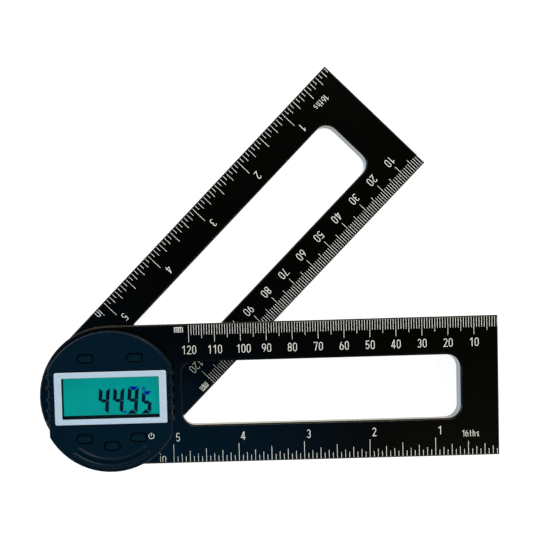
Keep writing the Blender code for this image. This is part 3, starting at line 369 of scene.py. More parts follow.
clear_acrylic, tree, shader = new_material("clear_acrylic")
place = add(tree, "TexCoord")
ripple = add(tree, "TexNoise", {"Vector": place.outputs["Object"]},
             {"Scale": features_of(RIPPLE), "Detail": 1.0})
ripple_bump = add(tree, "Bump", {"Height": ripple.outputs["Fac"]}, {"Distance": 0.01 * MM, "Strength": 0.4})
through = add(tree, "BsdfTransparent", values={"Color": linear("F4FBFA")})
gloss = add(tree, "BsdfGlossy", {"Normal": ripple_bump.outputs["Normal"]}, {"Roughness": 0.06})
share = add(tree, "Fresnel", {"Normal": ripple_bump.outputs["Normal"]}, {"IOR": 1.49})
coated = add(tree, "Math", {0: share.outputs["Fac"]}, {1: COATED_SHARE}, operation="MULTIPLY")
window = add(tree, "MixShader", {0: coated.outputs["Value"], 1: through.outputs["BSDF"],
                                 2: gloss.outputs["BSDF"]})
tree.nodes.remove(shader)
tree.links.new(window.outputs["Shader"], tree.nodes["Material Output"].inputs["Surface"])
print(clear_acrylic.name)

# %% [markdown]
# The liquid crystal panel looks teal because its backlight shines through a polariser. The light guide
# leaves slow clouds of brightness, and the polariser film has a fine satin. Emission stands for the
# backlight, so that the panel stays bright inside its dark frame. The film's own colour is a dark teal
# that reflects little.

# %% Backlit polariser
BACKLIGHT_CLOUD = 16

polariser, tree, shader = new_material("backlit_polariser_film")
set_shader(shader, IOR=1.5, Specular_IOR_Level=0.2, Emission_Strength=1.15, Base_Color=linear("012A28"))
place, _ = grain(tree, shader, size=0.15, depth=0.004, roughness=0.30, spread=0.05)
clouds = add(tree, "TexNoise", {"Vector": place}, {"Scale": features_of(BACKLIGHT_CLOUD), "Detail": 1.0})
teal = add(tree, "Mix", {"Factor": clouds.outputs["Fac"]},
           {COLOUR_A: linear("027A76"), COLOUR_B: linear("04948B")}, data_type="RGBA")
tree.links.new(teal.outputs[COLOUR_OUT], shader.inputs["Emission Color"])
print(polariser.name)

# %% [markdown]
# A driven segment turns the light away, so it looks nearly black with a violet cast. Where the drive is
# weak, at some segments and the small signs, the cast is a strong blue, and a little of the backlight
# still comes through. Both are films with the same satin.

# %% Liquid crystal segments
def crystal_film(name, dark, light, backlight):
    """A film with this share of the backlight left in it."""
    material, tree, shader = new_material(name)
    set_shader(shader, IOR=1.5, Specular_IOR_Level=0.08, Emission_Strength=backlight)
    _, satin = grain(tree, shader, size=0.15, depth=0.004, roughness=0.30, spread=0.05)
    cast = add(tree, "Mix", {"Factor": satin}, {COLOUR_A: linear(dark), COLOUR_B: linear(light)},
               data_type="RGBA")
    tree.links.new(cast.outputs[COLOUR_OUT], shader.inputs["Base Color"])
    tree.links.new(cast.outputs[COLOUR_OUT], shader.inputs["Emission Color"])
    return material


driven_crystal = crystal_film("driven_liquid_crystal", "060312", "120620", backlight=0.1)
weak_crystal = crystal_film("weakly_driven_liquid_crystal", "05067C", "08088E", backlight=0.45)
print(driven_crystal.name, weak_crystal.name)

# %% [markdown]
# The scales are burnt in by a laser that takes the dye out of the film and leaves pale oxide. It works in
# lines about 0.05 mm apart, drawn here at 0.2 mm so that they show as a faint hatch across each mark.
# Printed ink gets the same pattern at 0.4 mm, as faint streaks.

# %% Laser mark on anodised aluminium
def hatched_mark(name, dark, light, hatch):
    """Pale marks with a faint hatch of this spacing in millimetres."""
    material, tree, shader = new_material(name)
    set_shader(shader, IOR=1.6)
    place, _ = grain(tree, shader, size=0.12, depth=0.003, roughness=0.55, spread=0.06)
    lines = add(tree, "TexWave", {"Vector": place}, {"Scale": features_of(hatch) / 2, "Distortion": 0.5},
                bands_direction="Y")
    pale = add(tree, "Mix", {"Factor": lines.outputs["Fac"]},
               {COLOUR_A: linear(dark), COLOUR_B: linear(light)}, data_type="RGBA")
    tree.links.new(pale.outputs[COLOUR_OUT], shader.inputs["Base Color"])
    return material


laser_mark = hatched_mark("laser_mark_in_anodising", "C2C3BE", "D0D1CC", hatch=0.2)
pad_print = hatched_mark("pad_printed_ink", "C4C6C4", "D6D8D6", hatch=0.4)
print(laser_mark.name, pad_print.name)

# %% [markdown]
# The hub, the cell and the screws are turned or pressed steel. A lathe leaves rings about the axis of the
# work, every 0.1 mm or so. A wave texture in ring form draws them as bands of tone, at 0.25 mm or more so
# that they show. All rings run about the pivot's axis, so on the screws and the sheet parts they pass for
# the marks of rolling.

# %% Turned and pressed metals
METAL_EDGE = 0.15


def turned_metal(name, dark, light, roughness, ring):
    """Metal with turning rings about the pivot's axis, this far apart in millimetres."""
    material, tree, shader = new_material(name)
    set_shader(shader, Metallic=1.0)
    rounded = add(tree, "Bevel", values={"Radius": METAL_EDGE * MM}, samples=EDGE_SAMPLES)
    place, _ = grain(tree, shader, size=0.2, depth=0.002, roughness=roughness, spread=0.05,
                     normal=rounded.outputs["Normal"])
    rings = add(tree, "TexWave", {"Vector": place},
                {"Scale": features_of(ring) / math.tau, "Distortion": 0.3},
                wave_type="RINGS", rings_direction="Z")
    tone = add(tree, "Mix", {"Factor": rings.outputs["Fac"]},
               {COLOUR_A: linear(dark), COLOUR_B: linear(light)}, data_type="RGBA")
    tree.links.new(tone.outputs[COLOUR_OUT], shader.inputs["Base Color"])
    return material


turned_steel = turned_metal("turned_stainless_steel", "A8A8A6", "C2C2C0", roughness=0.28, ring=0.25)
cell_steel = turned_metal("nickel_plated_cell_steel", "B4B2AA", "CBC9C1", roughness=0.24, ring=0.4)
zinc_steel = turned_metal("zinc_plated_steel", "A4A9AC", "BCC1C4", roughness=0.34, ring=0.3)
spring_steel = turned_metal("spring_steel", "9C9A92", "B2B0A8", roughness=0.26, ring=0.5)
sheet_aluminium = turned_metal("stamped_aluminium", "B8BABB", "C8CACB", roughness=0.42, ring=1.2)
print(turned_steel.name, cell_steel.name, zinc_steel.name, spring_steel.name, sheet_aluminium.name)

# %% [markdown]
# The boards are glass fibre laminate under green solder mask. Copper tracks stand about 0.03 mm proud
# under the mask and look lighter, and a brick pattern of 1.2 mm by 0.5 mm lays them out in plausible
# runs.

# %% Solder mask on a board
TRACK_UNIT = 2.4
TRACK_HEIGHT = 0.03

solder_mask, tree, shader = new_material("green_solder_mask")
set_shader(shader, IOR=1.55, Roughness=0.35, Coat_Weight=0.4, Coat_Roughness=0.15)
place = add(tree, "TexCoord")
tracks = add(tree, "TexBrick", {"Vector": place.outputs["Object"]},
             {"Color1": linear("0B4A2A"), "Color2": linear("0E5530"), "Mortar": linear("2E8A58"),
              "Scale": features_of(TRACK_UNIT), "Mortar Size": 0.03, "Brick Width": 0.5, "Row Height": 0.21})
tree.links.new(tracks.outputs["Color"], shader.inputs["Base Color"])
track_bump = add(tree, "Bump", {"Height": tracks.outputs["Fac"]},
                 {"Distance": TRACK_HEIGHT * MM, "Strength": 0.6})
tree.links.new(track_bump.outputs["Normal"], shader.inputs["Normal"])
print(solder_mask.name)

# %% [markdown]
# The sensor rings are boards too, with gold plated pads in a circle that the two rings read against each
# other. A gradient that runs once round the axis, multiplied and cut, gives 48 pads.

# %% Gold pads on the sensor rings
PAD_COUNT = 48
PAD_SHARE = 0.55

sensor_board, tree, shader = new_material("sensor_board_gold_pads")
set_shader(shader, IOR=1.5, Roughness=0.32, Coat_Weight=0.3, Coat_Roughness=0.15)
place = add(tree, "TexCoord")
round_axis = add(tree, "TexGradient", {"Vector": place.outputs["Object"]}, gradient_type="RADIAL")
pads = add(tree, "Math", {0: round_axis.outputs["Fac"]}, {1: PAD_COUNT}, operation="MULTIPLY")
step = add(tree, "Math", {0: pads.outputs["Value"]}, operation="FRACT")
pad = add(tree, "Math", {0: step.outputs["Value"]}, {1: PAD_SHARE}, operation="LESS_THAN")
plated = add(tree, "Mix", {"Factor": pad.outputs["Value"]},
             {COLOUR_A: linear("0C4C2C"), COLOUR_B: linear("C69A4A")}, data_type="RGBA")
tree.links.new(plated.outputs[COLOUR_OUT], shader.inputs["Base Color"])
tree.links.new(pad.outputs["Value"], shader.inputs["Metallic"])
print(sensor_board.name, PAD_COUNT, "pads")

# %% [markdown]
# The contact strip is silicone with carbon layers every 0.18 mm, drawn at 0.4 mm, and the light guide is
# clear acrylic with rows of white dots that scatter light up into the panel.

# %% Contact strip and light guide
CARBON_LAYER = 0.4
DOT_SPACING = 0.8
DOT_SHARE = 0.3

striped_rubber, tree, shader = new_material("layered_contact_rubber")
set_shader(shader, IOR=1.42, Roughness=0.6)
place = add(tree, "TexCoord")
layers = add(tree, "TexWave", {"Vector": place.outputs["Object"]}, {"Scale": features_of(CARBON_LAYER) / 2})
layered = add(tree, "Mix", {"Factor": layers.outputs["Fac"]},
              {COLOUR_A: linear("1A1A1B"), COLOUR_B: linear("B9605C")}, data_type="RGBA")
tree.links.new(layered.outputs[COLOUR_OUT], shader.inputs["Base Color"])

light_guide, tree, shader = new_material("dotted_light_guide_acrylic")
set_shader(shader, IOR=1.49, Roughness=0.2, Transmission_Weight=0.3)
place = add(tree, "TexCoord")
dots = add(tree, "TexVoronoi", {"Vector": place.outputs["Object"]},
           {"Scale": features_of(DOT_SPACING), "Randomness": 0.0})
dot = add(tree, "Math", {0: dots.outputs["Distance"]}, {1: DOT_SHARE}, operation="LESS_THAN")
dotted = add(tree, "Mix", {"Factor": dot.outputs["Value"]},
             {COLOUR_A: linear("D5E4E0"), COLOUR_B: linear("FAFAFA")}, data_type="RGBA")
tree.links.new(dotted.outputs[COLOUR_OUT], shader.inputs["Base Color"])
print(striped_rubber.name, light_guide.name)

# %% [markdown]
# Each part of the model now takes its finish. The longest matching start of a name decides, so one line
# covers a family such as the screws.

# %% Give every part its finish
FINISHES = {
    "upper_arm": black_anodised,
    "lower_arm": black_anodised,
    "display_case": case_abs,
    "display_bezel": silver_lacquer,
    "display_lens": clear_acrylic,
    "lcd_panel": polariser,
    "lcd_frame": black_abs,
    "lcd_connector": striped_rubber,
    "backlight": light_guide,
    "button_": silicone,
    "circuit_board": solder_mask,
    "switch_": zinc_steel,
    "chassis_plate": sheet_aluminium,
    "pivot_hub": turned_steel,
    "bearing_sleeve": cream_acetal,
    "wave_spring": spring_steel,
    "encoder_": sensor_board,
    "sensor_connector": black_abs,
    "battery": cell_steel,
    "battery_lid": black_abs,
    "contact_": spring_steel,
    "case_screw_": zinc_steel,
    "hub_screw_": zinc_steel,
    "board_screw_": zinc_steel,
}

for name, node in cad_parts.items():
    start = max((start for start in FINISHES if name.startswith(start)), key=len)
    for slot in node.material_slots:
        slot.material = FINISHES[start]
print("finished:", len(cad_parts), "nodes")

# %% [markdown]
# Marks are films of ink or oxide, far thinner than anything else here. Each is made as a closed plate
# 0.02 mm thick, a hair above its face, so it has real edges and never flickers against the surface below
# it. Strokes of a numeral overlap, so a triangulation first joins all the outlines of a mark into one
# sheet: it keeps the triangles that lie in any of them. The sheet is then copied up, and walls close the
# rim.

# %% Join outlines into one flat plate
MARK_THICKNESS = 0.02
MARK_LIFT = 0.003
JOIN_DISTANCE = 1e-5


def anticlockwise(outline):
    """The outline with its inside on the left; the triangulation fills the other side of a mirrored one."""
    twice_area = sum(x0 * y1 - x1 * y0 for (x0, y0), (x1, y1) in zip(outline, outline[1:] + outline[:1]))
    return outline if twice_area > 0 else outline[::-1]


def plate(outlines, thickness=MARK_THICKNESS):
    """A bmesh of one closed plate over these outlines, all in millimetres, just above level zero."""
    outlines = [anticlockwise(outline) for outline in outlines]
    points = [Vector(point) for outline in outlines for point in outline]
    faces, start = [], 0
    for outline in outlines:
        faces.append(list(range(start, start + len(outline))))
        start += len(outline)
    spots, _, triangles, _, _, sources = delaunay_2d_cdt(points, [], faces, 1, JOIN_DISTANCE)
    triangles = [triangle for triangle, source in zip(triangles, sources) if source]
    shape = bmesh.new()
    low, high = [[shape.verts.new((*(spot * MM), level * MM)) for spot in spots]
                 for level in (MARK_LIFT, MARK_LIFT + thickness)]
    rim = set()
    for triangle in triangles:
        shape.faces.new([high[spot] for spot in triangle])
        shape.faces.new([low[spot] for spot in reversed(triangle)])
        rim.update((first, triangle[index - 2]) for index, first in enumerate(triangle))
    for first, second in rim:
        if (second, first) not in rim:
            shape.faces.new((low[first], low[second], high[second], high[first]))
    bmesh.ops.delete(shape, geom=[vertex for vertex in shape.verts if not vertex.link_faces], context="VERTS")
    return shape


def mark_piece(name, outlines, body, material, matrix, thickness=MARK_THICKNESS):
    """The outlines as one flat piece, placed by matrix, that rides on a body."""
    shape = plate(outlines, thickness)
    bmesh.ops.transform(shape, matrix=matrix, verts=shape.verts)
    mesh = bpy.data.meshes.new(name)
    shape.to_mesh(mesh)
    shape.free()
    piece = bpy.data.objects.new(name, mesh)
    piece.data.materials.append(material)
    bpy.context.scene.collection.objects.link(piece)
    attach(piece, body)
    print(name, len(mesh.polygons), "faces")


def at_level(level):
    """The matrix that lifts a mark to a level in metres."""
    return Matrix.Translation((0.0, 0.0, level))


# %% [markdown]
# Each arm carries a millimetre row along one edge and an inch row along the other, both up to the
# chamfer. The rows count from the free end, and their zero lies just off it. On the lower arm the marking
# is turned half round in the plane of the arm, so it reads towards the pivot. One function in the arm's
# own frame serves both.

# %% Outline the rows of ticks
ARM_HALF_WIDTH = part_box("upper_arm")[1][1] / MM
CHAMFER = 0.5
ZERO_REACH = 151.45
INCH = 25.4
SIXTEENTHS = 16
MM_ROW_END = 120
INCH_ROW_END = 5
MM_TICKS = ((10, 6.7), (5, 5.2), (1, 3.9))
INCH_TICKS = ((16, 6.8), (8, 5.2), (4, 4.1), (2, 3.1), (1, 2.1))
MM_TICK_WIDTH = 0.19
INCH_TICK_WIDTH = 0.20


def row_of_ticks(count, spacing, lengths, width, side):
    """Ticks from the free end inward; each takes the length of the coarsest step that divides its number."""
    edge = ARM_HALF_WIDTH - CHAMFER
    rows = []
    for number in range(1, count + 1):
        length = next(length for step, length in lengths if number % step == 0)
        middle = ZERO_REACH - number * spacing
        near, far = sorted((side * edge, side * (edge - length)))
        rows.append([(middle - width / 2, near), (middle + width / 2, near),
                     (middle + width / 2, far), (middle - width / 2, far)])
    return rows


print("half an arm's width: %.2f mm" % ARM_HALF_WIDTH)

# %% [markdown]
# The numbers are plain narrow sans numerals with strokes of one width, like those of an engraving
# stencil. The built in font has other proportions, so each numeral is a few strokes here: straight runs
# and parts of ellipses, in shares of the numeral's height, about the middle of its foot. A stroke becomes
# a band, mitred where it bends.

# %% Draw a stroke as a band
ARC_STEP = 20.0
SHARPEST_MITRE = 0.35


def arc(x, y, across, up, start, end):
    """Points along part of an ellipse; the angles are in degrees, anticlockwise from the right."""
    steps = max(2, round(abs(end - start) / ARC_STEP))
    turns = [math.radians(start + (end - start) * step / steps) for step in range(steps + 1)]
    return [(x + across * math.cos(turn), y + up * math.sin(turn)) for turn in turns]


def band(points, width):
    """A stroke of this width along points, one quadrilateral for each stretch."""
    path = [Vector(point) for point in points]
    runs = [(after - before).normalized() for before, after in zip(path, path[1:])]
    closed = (path[0] - path[-1]).length < JOIN_DISTANCE
    sides = []
    for index, point in enumerate(path):
        before = runs[index - 1] if index or closed else runs[0]
        after = runs[index % len(runs)] if index < len(runs) or closed else runs[-1]
        middle = (before + after).normalized()
        across = Vector((-middle.y, middle.x)) * width / 2 / max(middle.dot(after), SHARPEST_MITRE)
        sides.append((point - across, point + across))
    return [[sides[index][0], sides[index + 1][0], sides[index + 1][1], sides[index][1]]
            for index in range(len(runs))]


print("a stroke with one bend:", len(band([(0.0, 0.0), (1.0, 0.0), (1.0, 1.0)], 0.1)), "quadrilaterals")

# %% [markdown]
# A loop of a numeral is two half ellipses joined by straight sides. The nine is the six turned half
# round, and the letters m, n and h share one arch. That keeps the family alike, as in a real stencil set.
# Each sign stands in a cell of its own, whose width sets the spacing.

# %% Set out the numerals and letters
# shares of the height: a stroke, its middle at foot and top, half a numeral's width, a small letter's top
STROKE_SHARE = 0.088
FOOT, TOP = STROKE_SHARE / 2, 1 - STROKE_SHARE / 2
HALF = 0.185
X_TOP = 0.70


def loop(low, high, across, round_share=1.25):
    """An upright loop between two heights, whose ends round off over this share of its half width."""
    bend = across * round_share
    points = arc(0, high - bend, across, bend, 0, 180) + arc(0, low + bend, across, bend, 180, 360)
    return points + points[:1]


def arch(left, right, low=0.0):
    """A stem, and from it an arch that comes down on the right."""
    middle, reach = (left + right) / 2, (right - left) / 2
    bend = arc(middle, X_TOP - FOOT - reach, reach, reach, 180, 0)
    return [[(left, low), (left, X_TOP)], [*bend, (right, 0.0)]]


SIX = [loop(FOOT, 0.60, HALF, 1.15), arc(0.13, 0.30, 0.315, 0.65, 180, 108)]
STROKES = {
    "0": [loop(FOOT, TOP, HALF)],
    "1": [[(0.08, 0.0), (0.08, 1.0)], [(-0.16, 0.74), (-0.04, 0.82), (0.08, 0.95)]],
    "2": [[*arc(0, 0.73, HALF, TOP - 0.73, 165, -25), (-0.16, FOOT)], [(-0.25, FOOT), (0.25, FOOT)]],
    "3": [arc(0, 0.725, 0.17, TOP - 0.725, 155, -90), arc(0, 0.29, HALF, 0.29 - FOOT, 90, -155)],
    "4": [[(0.09, 0.0), (0.09, 1.0)], [(0.06, TOP), (-0.21, 0.27)], [(-0.27, 0.26), (0.25, 0.26)]],
    "5": [[(0.22, TOP), (-0.13, TOP), (-0.155, 0.50)], arc(0, 0.315, HALF, 0.315 - FOOT, 148, -155)],
    "6": SIX,
    "7": [[(-0.25, TOP), (0.185, TOP), (-0.04, 0.0)]],
    "8": [loop(0.5, TOP, 0.16, 1.2), loop(FOOT, 0.52, HALF, 1.15)],
    "9": [[(-x, 1 - y) for x, y in stroke] for stroke in SIX],
    "m": [*arch(-0.22, 0.0), *arch(0.0, 0.22)[1:]],
    "n": arch(-0.17, 0.17),
    "h": [*arch(-0.14, 0.14)[1:], [(-0.14, 0.0), (-0.14, 1.0)]],
    "i": [[(0.0, 0.0), (0.0, X_TOP)], [(0.0, 0.84), (0.0, 1.0)]],
    "t": [[(0.0, 0.95), (0.0, 0.16), *arc(0.10, 0.16, 0.10, 0.16 - FOOT, 200, 290)],
          [(-0.12, 0.63), (0.13, 0.63)]],
    "s": [arc(0, 0.50, 0.12, 0.50 - X_TOP / 2 + 0.01, 30, 250) + arc(0, 0.21, 0.12, 0.21 - FOOT, 70, -150)],
}
CELL_SHARES = {"m": 0.57, "n": 0.54, "h": 0.60, "i": 0.34, "t": 0.46, "s": 0.54}
NUMERAL_CELL_SHARE = 0.61


def lettering(word, height, middle, turned=False, cell_shares=CELL_SHARES):
    """The outlines of one word of this height, with its cells centred on middle."""
    cells = [cell_shares.get(letter, NUMERAL_CELL_SHARE) for letter in word]
    way = -1 if turned else 1
    start = -sum(cells) / 2
    outlines = []
    for letter, cell in zip(word, cells):
        for stroke in STROKES[letter]:
            path = [(middle[0] + way * height * (start + cell / 2 + x), middle[1] + way * height * (y - 0.5))
                    for x, y in stroke]
            outlines += band(path, STROKE_SHARE * height)
        start += cell
    return outlines


print("letters drawn:", " ".join(STROKES))

# %% [markdown]
# Millimetre numbers stand just inside their ticks, every ten. Inch numbers, and the 100, are set a little
# towards the free end. Small words name the units: mm, in, and 16ths for the finest inch ticks, with its
# 1 set close.

# %% Mark both arms
NUMBER_HEIGHT = 3.3
NUMBER_LINE = 16.95
MM_NUMBER_STEP = 10
MM_NUMBER_SHIFTS = {100: 1.1}
INCH_NUMBER_SHIFT = 1.75
# word: (height, reach from the pivot, distance from the arm's middle line towards the millimetre edge)
UNIT_WORDS = {"mm": (3.1, 27.6, 25.3), "in": (3.3, 20.1, -24.8), "16ths": (2.6, 139.7, -18.4)}
UNIT_CELL_SHARES = {**CELL_SHARES, "1": 0.42}


def mm_number_place(number):
    """The reach of a millimetre number from the pivot."""
    return ZERO_REACH - number + MM_NUMBER_SHIFTS.get(number, 0.0)


def inch_number_place(number):
    """The reach of an inch number from the pivot."""
    return ZERO_REACH - number * INCH + INCH_NUMBER_SHIFT


def mark_arm(arm, body, level, angle, side):
    """All marks of one arm; side is 1 where the millimetre row is on its left, seen from the pivot."""
    place = Matrix.Rotation(angle, 4, "Z") @ at_level(level)
    turned = side < 0
    rows = {
        "_mm_ticks": row_of_ticks(MM_ROW_END, 1.0, MM_TICKS, MM_TICK_WIDTH, side),
        "_inch_ticks": row_of_ticks(INCH_ROW_END * SIXTEENTHS, INCH / SIXTEENTHS, INCH_TICKS,
                                    INCH_TICK_WIDTH, -side),
        "_mm_numbers": [outline for number in range(MM_NUMBER_STEP, MM_ROW_END + 1, MM_NUMBER_STEP)
                        for outline in lettering(str(number), NUMBER_HEIGHT,
                                                 (mm_number_place(number), side * NUMBER_LINE), turned)],
        "_inch_numbers": [outline for number in range(1, INCH_ROW_END + 1)
                          for outline in lettering(str(number), NUMBER_HEIGHT,
                                                   (inch_number_place(number), -side * NUMBER_LINE),
                                                   turned)],
        "_unit_words": [outline for word, (height, reach, across) in UNIT_WORDS.items()
                        for outline in lettering(word, height, (reach, side * across), turned,
                                                 UNIT_CELL_SHARES)],
    }
    for row, outlines in rows.items():
        mark_piece(arm + row, outlines, body, laser_mark, place)


REST_ANGLE = math.radians(45.0)
mark_arm("upper_arm", "head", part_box("upper_arm")[1][2], 0.0, 1)
mark_arm("lower_arm", "lower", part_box("lower_arm")[1][2], REST_ANGLE, -1)

# %% [markdown]
# The reading is 44.95 degrees, in leaning seven segment figures. The segments are clear electrodes that
# only show when driven, so each is a thin film on the panel. The last figure is smaller and stands under
# the degree sign.

# %% Shape the seven segments
SEGMENT = 1.42
SEGMENT_GAP = 0.09
FIGURE_LEAN = math.tan(math.radians(5.0))
SEGMENTS_OF = {"4": "fgbc", "9": "abcdfg", "5": "afgcd"}
# shares of a segment's thickness: a point's reach, a point's shoulder, and the cut corners of the outer ones
TIP_SHARE, SHOULDER_SHARE = 0.45, 0.85
LEVEL_CUT_SHARE, UPRIGHT_CUT_SHARE = 0.1, 0.2


def segment_outline(letter, height, width):
    """One segment, from the figure's lower left corner in millimetres; a is the top, the rest clockwise."""
    t, g, half = SEGMENT, SEGMENT_GAP, height / 2
    if letter == "g":
        point, tip, corner = t * TIP_SHARE, t * TIP_SHARE + g, t * SHOULDER_SHARE + g
        return [(tip, half), (corner, half - point), (width - corner, half - point),
                (width - tip, half), (width - corner, half + point), (corner, half + point)]
    if letter in "ad":
        cut = t * LEVEL_CUT_SHARE + g
        outline = [(cut, 0.0), (width - cut, 0.0), (width - t - g, t), (t + g, t)]
        return outline if letter == "d" else [(x, height - y) for x, y in outline]
    outline = [(0.0, t * UPRIGHT_CUT_SHARE + g), (t, t + g), (t, half - t / 2 - g), (t / 2, half - g),
               (0.0, half - g)]
    if letter in "bc":
        outline = [(width - x, y) for x, y in outline]
    if letter in "fb":
        outline = [(x, height - y) for x, y in outline]
    return outline


print("corners of a middle segment:", len(segment_outline("g", 10.0, 4.0)))

# %% [markdown]
# The figures are laid out from the left, each at its own place on the panel. The top segments of the last
# two figures, the point and the degree sign are the weakly driven ones.

# %% Lay out the reading
# figure, then the place of its left side, its height and its width in millimetres
READING = (("4", -3.55, 10.3, 4.1), ("4", 1.88, 10.3, 4.1), ("9", 7.3, 10.3, 4.1), ("5", 12.7, 8.4, 3.8))
READING_FOOT = -5.95
WEAK_SEGMENTS = (("9", "a"), ("5", "a"))
POINT = [(6.4, -5.7), (7.2, -5.7), (7.35, -4.8), (6.5, -4.8)]
DEGREE_PLACE = (14.05, 3.42)
DEGREE_RADIUS = 0.52
DEGREE_STROKE = 0.38
FILM = 0.03

driven = []
weak = [POINT, *band(arc(*DEGREE_PLACE, DEGREE_RADIUS, DEGREE_RADIUS, 0, 360), DEGREE_STROKE)]
for figure, left, height, width in READING:
    for letter in SEGMENTS_OF[figure]:
        outline = [(left + x + y * FIGURE_LEAN, READING_FOOT + y)
                   for x, y in segment_outline(letter, height, width)]
        (weak if (figure, letter) in WEAK_SEGMENTS else driven).append(outline)

panel_face = at_level(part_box("lcd_panel")[1][2])
mark_piece("lcd_segments_driven", driven, "head", driven_crystal, panel_face, FILM)
mark_piece("lcd_segments_weak", weak, "head", weak_crystal, panel_face, FILM)

# %% [markdown]
# The panel's glass ends in a dark contact ledge, and black tape covers its rim. Seen through the window,
# they are the dark line along the foot and the left of the display.

# %% Tape the panel's rim
RIM_OPENING = (-16.1, -6.15, 20.3, 8.6)
TAPE = 0.045

(low_x, low_y), (high_x, high_y) = [(corner[0] / MM, corner[1] / MM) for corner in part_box("lcd_panel")]
left, foot, right, top = RIM_OPENING
strips = [(low_x, low_y, high_x, foot), (low_x, top, high_x, high_y),
          (low_x, foot, left, top), (right, foot, high_x, top)]
mark_piece("lcd_rim_tape", [[(x0, y0), (x1, y0), (x1, y1), (x0, y1)] for x0, y0, x1, y1 in strips], "head",
           black_abs, panel_face, TAPE)

# %% [markdown]
# Beside the lower right button a small printed sign shows that it also switches the tool on: the usual
# broken ring with an upright bar. The case's ribs stand 0.6 mm proud, so the sign lies that far below the
# case's top.

# %% Print the power sign
POWER_PLACE = (16.55, -14.1)
POWER_RADIUS = 1.0
POWER_STROKE = 0.22
POWER_GAP = 35.0
POWER_BAR = 1.25
RIB_HEIGHT = 0.6

case_face = at_level(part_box("display_case")[1][2] - RIB_HEIGHT * MM)
x, y = POWER_PLACE
sign = band(arc(x, y, POWER_RADIUS, POWER_RADIUS, 90 + POWER_GAP, 450 - POWER_GAP), POWER_STROKE)
sign += band([(x, y), (x, y + POWER_BAR)], POWER_STROKE)
mark_piece("case_power_sign", sign, "head", pad_print, case_face)

# %% [markdown]
# The tool lies on a plain white floor, six metres wide. The floor is a matte surface that takes the
# tool's shadow. To the camera, and in reflections, it also gives off light of its own, so that it reads
# as white paper without any more lamp on the tool.

# %% Lay the floor
FLOOR_SIZE = 6.0
FLOOR_DROP = 0.02
FLOOR_GLOW = 0.94

floor_shape = bmesh.new()
bmesh.ops.create_grid(floor_shape, x_segments=1, y_segments=1, size=FLOOR_SIZE / 2)
floor_mesh = bpy.data.meshes.new("floor")
floor_shape.to_mesh(floor_mesh)
floor_shape.free()
floor = bpy.data.objects.new("floor", floor_mesh)
floor.location.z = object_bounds()[0][2] - FLOOR_DROP * MM
bpy.context.scene.collection.objects.link(floor)

white_paper, tree, shader = new_material("white_paper_sweep")
set_shader(shader, Roughness=0.9, Specular_IOR_Level=0.1)
set_shader(shader, Base_Color=linear("7A7A7A"), Emission_Color=(1.0, 1.0, 1.0, 1.0))
ray = add(tree, "LightPath")
seen = add(tree, "Math", {0: ray.outputs["Is Camera Ray"], 1: ray.outputs["Is Glossy Ray"]},
           operation="MAXIMUM")
seen = add(tree, "Math", {0: seen.outputs["Value"], 1: ray.outputs["Is Transmission Ray"]},
           operation="MAXIMUM")
glow = add(tree, "Math", {0: seen.outputs["Value"]}, {1: FLOOR_GLOW}, operation="MULTIPLY")
tree.links.new(glow.outputs["Value"], shader.inputs["Emission Strength"])
floor.data.materials.append(white_paper)
print("floor at %.2f mm" % (floor.location.z / MM))

# %% [markdown]
# The light is a tent that is open at the top, where the camera looks in. Black anodising seen from above
# then mirrors the dark opening and stays black. The tent is brightest behind the tool, at its far side,
# and dim in front, so only the far chamfers catch a line of light.

# %% Shade the tent
TENT_COLOUR = linear("FFFDF4")
NEAR_COLOUR = linear("34383C")
NEAR_END, FAR_END = -0.5, 0.4
TENT_STRENGTH = 1.1

world = bpy.data.worlds.new("light_tent")
world.use_nodes = True
bpy.context.scene.world = world
tree = world.node_tree
outward = add(tree, "TexCoord").outputs["Generated"]
direction = add(tree, "SeparateXYZ", {"Vector": outward})
depth = add(tree, "MapRange", {"Value": direction.outputs["Y"]},
            {"From Min": NEAR_END, "From Max": FAR_END, "To Min": 0.0, "To Max": 1.0})
cloth = add(tree, "Mix", {"Factor": depth.outputs["Result"]}, {COLOUR_A: NEAR_COLOUR, COLOUR_B: TENT_COLOUR},
            data_type="RGBA")
background = tree.nodes["Background"]
background.inputs["Strength"].default_value = TENT_STRENGTH
print(world.name, "at strength", TENT_STRENGTH)

# %% [markdown]
# Through its opening the tool mirrors a dark room. Two walls of the room show there, a blue one at the
# near left and a warm one at the near right, and tint what mirrors them. Each grows from nothing towards
# its side and upwards, and the product of the two is its share.

# %% Open the tent to the room
OPENING_COLOUR = linear("060607")
OPENING_START, OPENING_FULL = 0.50, 0.75
# the side it is on, where it starts and is full towards that side, the same upwards, colour and brightness
ROOM_WALLS = (
    ((-0.3, -0.95, 0.0), (0.06, 0.20), (0.930, 0.960), "20B4FF", 2.0),
    ((0.6, -0.8, 0.0), (0.30, 0.50), (0.840, 0.900), "C8BC88", 1.0),
)

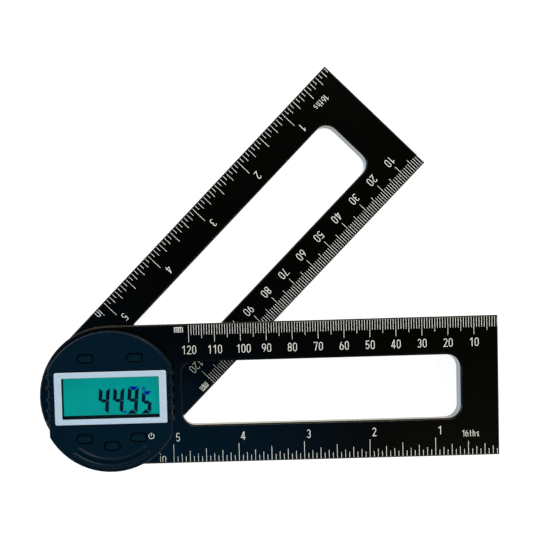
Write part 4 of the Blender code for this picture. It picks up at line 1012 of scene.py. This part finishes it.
opening = add(tree, "MapRange", {"Value": direction.outputs["Z"]},
              {"From Min": OPENING_START, "From Max": OPENING_FULL, "To Min": 0.0, "To Max": 1.0})
overhead = add(tree, "Mix", values={"Factor": 0.0, COLOUR_A: OPENING_COLOUR}, data_type="RGBA")
for side, (side_start, side_full), (low, high), colour, brightness in ROOM_WALLS:
    nearness = add(tree, "VectorMath", {0: outward}, {1: side}, operation="DOT_PRODUCT")
    share = add(tree, "MapRange", {"Value": nearness.outputs["Value"]},
                {"From Min": side_start, "From Max": side_full, "To Min": 0.0, "To Max": 1.0})
    height = add(tree, "MapRange", {"Value": direction.outputs["Z"]},
                 {"From Min": low, "From Max": high, "To Min": 0.0, "To Max": 1.0})
    glowing = [value * brightness for value in linear(colour)]
    seen = add(tree, "Math", {0: share.outputs["Result"], 1: height.outputs["Result"]}, operation="MULTIPLY")
    overhead = add(tree, "Mix", {"Factor": seen.outputs["Value"], COLOUR_A: overhead.outputs[COLOUR_OUT]},
                   {COLOUR_B: glowing}, data_type="RGBA")
tent = add(tree, "Mix", {"Factor": opening.outputs["Result"], COLOUR_A: cloth.outputs[COLOUR_OUT],
                         COLOUR_B: overhead.outputs[COLOUR_OUT]}, data_type="RGBA")
print(len(ROOM_WALLS), "walls show in the opening")

# %% [markdown]
# Behind the tool the camera sees a plain pale backdrop. The Light Path node tells rays from the camera
# apart, so the tent still lights the tool and shows in its reflections.

# %% Give the camera a plain backdrop
BACKDROP_COLOUR = linear("F4F4F4")

ray = add(tree, "LightPath")
shown = add(tree, "Mix", {"Factor": ray.outputs["Is Camera Ray"], COLOUR_A: tent.outputs[COLOUR_OUT]},
            {COLOUR_B: BACKDROP_COLOUR}, data_type="RGBA")
tree.links.new(shown.outputs[COLOUR_OUT], background.inputs["Color"])
print(world.name, len(tree.nodes), "nodes")

# %% [markdown]
# Three soft boxes give the light a direction: the strongest stands behind the tool, and the others fill
# from the left and the near right. They stand low, so that their mirror image misses the camera.

# %% Set the soft boxes
# name: (azimuth and elevation in degrees, distance in metres, side in metres, watts, colour)
SOFT_BOXES = {
    "back_box": (68.0, 34.0, 0.9, 0.30, 8.5, "FFFBF2"),
    "left_box": (172.0, 28.0, 0.9, 0.45, 4.0, "DCEBFF"),
    "near_box": (-44.0, 32.0, 0.9, 0.40, 5.5, "FFF1DC"),
}
AIM = Vector((60 * MM, 30 * MM, 10 * MM))

for name, (azimuth, elevation, distance, side, power, colour) in SOFT_BOXES.items():
    lamp = bpy.data.lights.new(name, "AREA")
    lamp.shape = "SQUARE"
    lamp.size = side
    lamp.energy = power
    lamp.color = linear(colour)[:3]
    box = bpy.data.objects.new(name, lamp)
    flat = math.cos(math.radians(elevation))
    outward = Vector((flat * math.cos(math.radians(azimuth)), flat * math.sin(math.radians(azimuth)),
                      math.sin(math.radians(elevation))))
    box.location = AIM + outward * distance
    box.rotation_euler = outward.to_track_quat("Z", "Y").to_euler()
    bpy.context.scene.collection.objects.link(box)
print("lamps:", ", ".join(SOFT_BOXES))

# %% [markdown]
# The Standard view shows each colour as it was worked out.

# %% Finish
bpy.context.scene.view_settings.view_transform = "Standard"
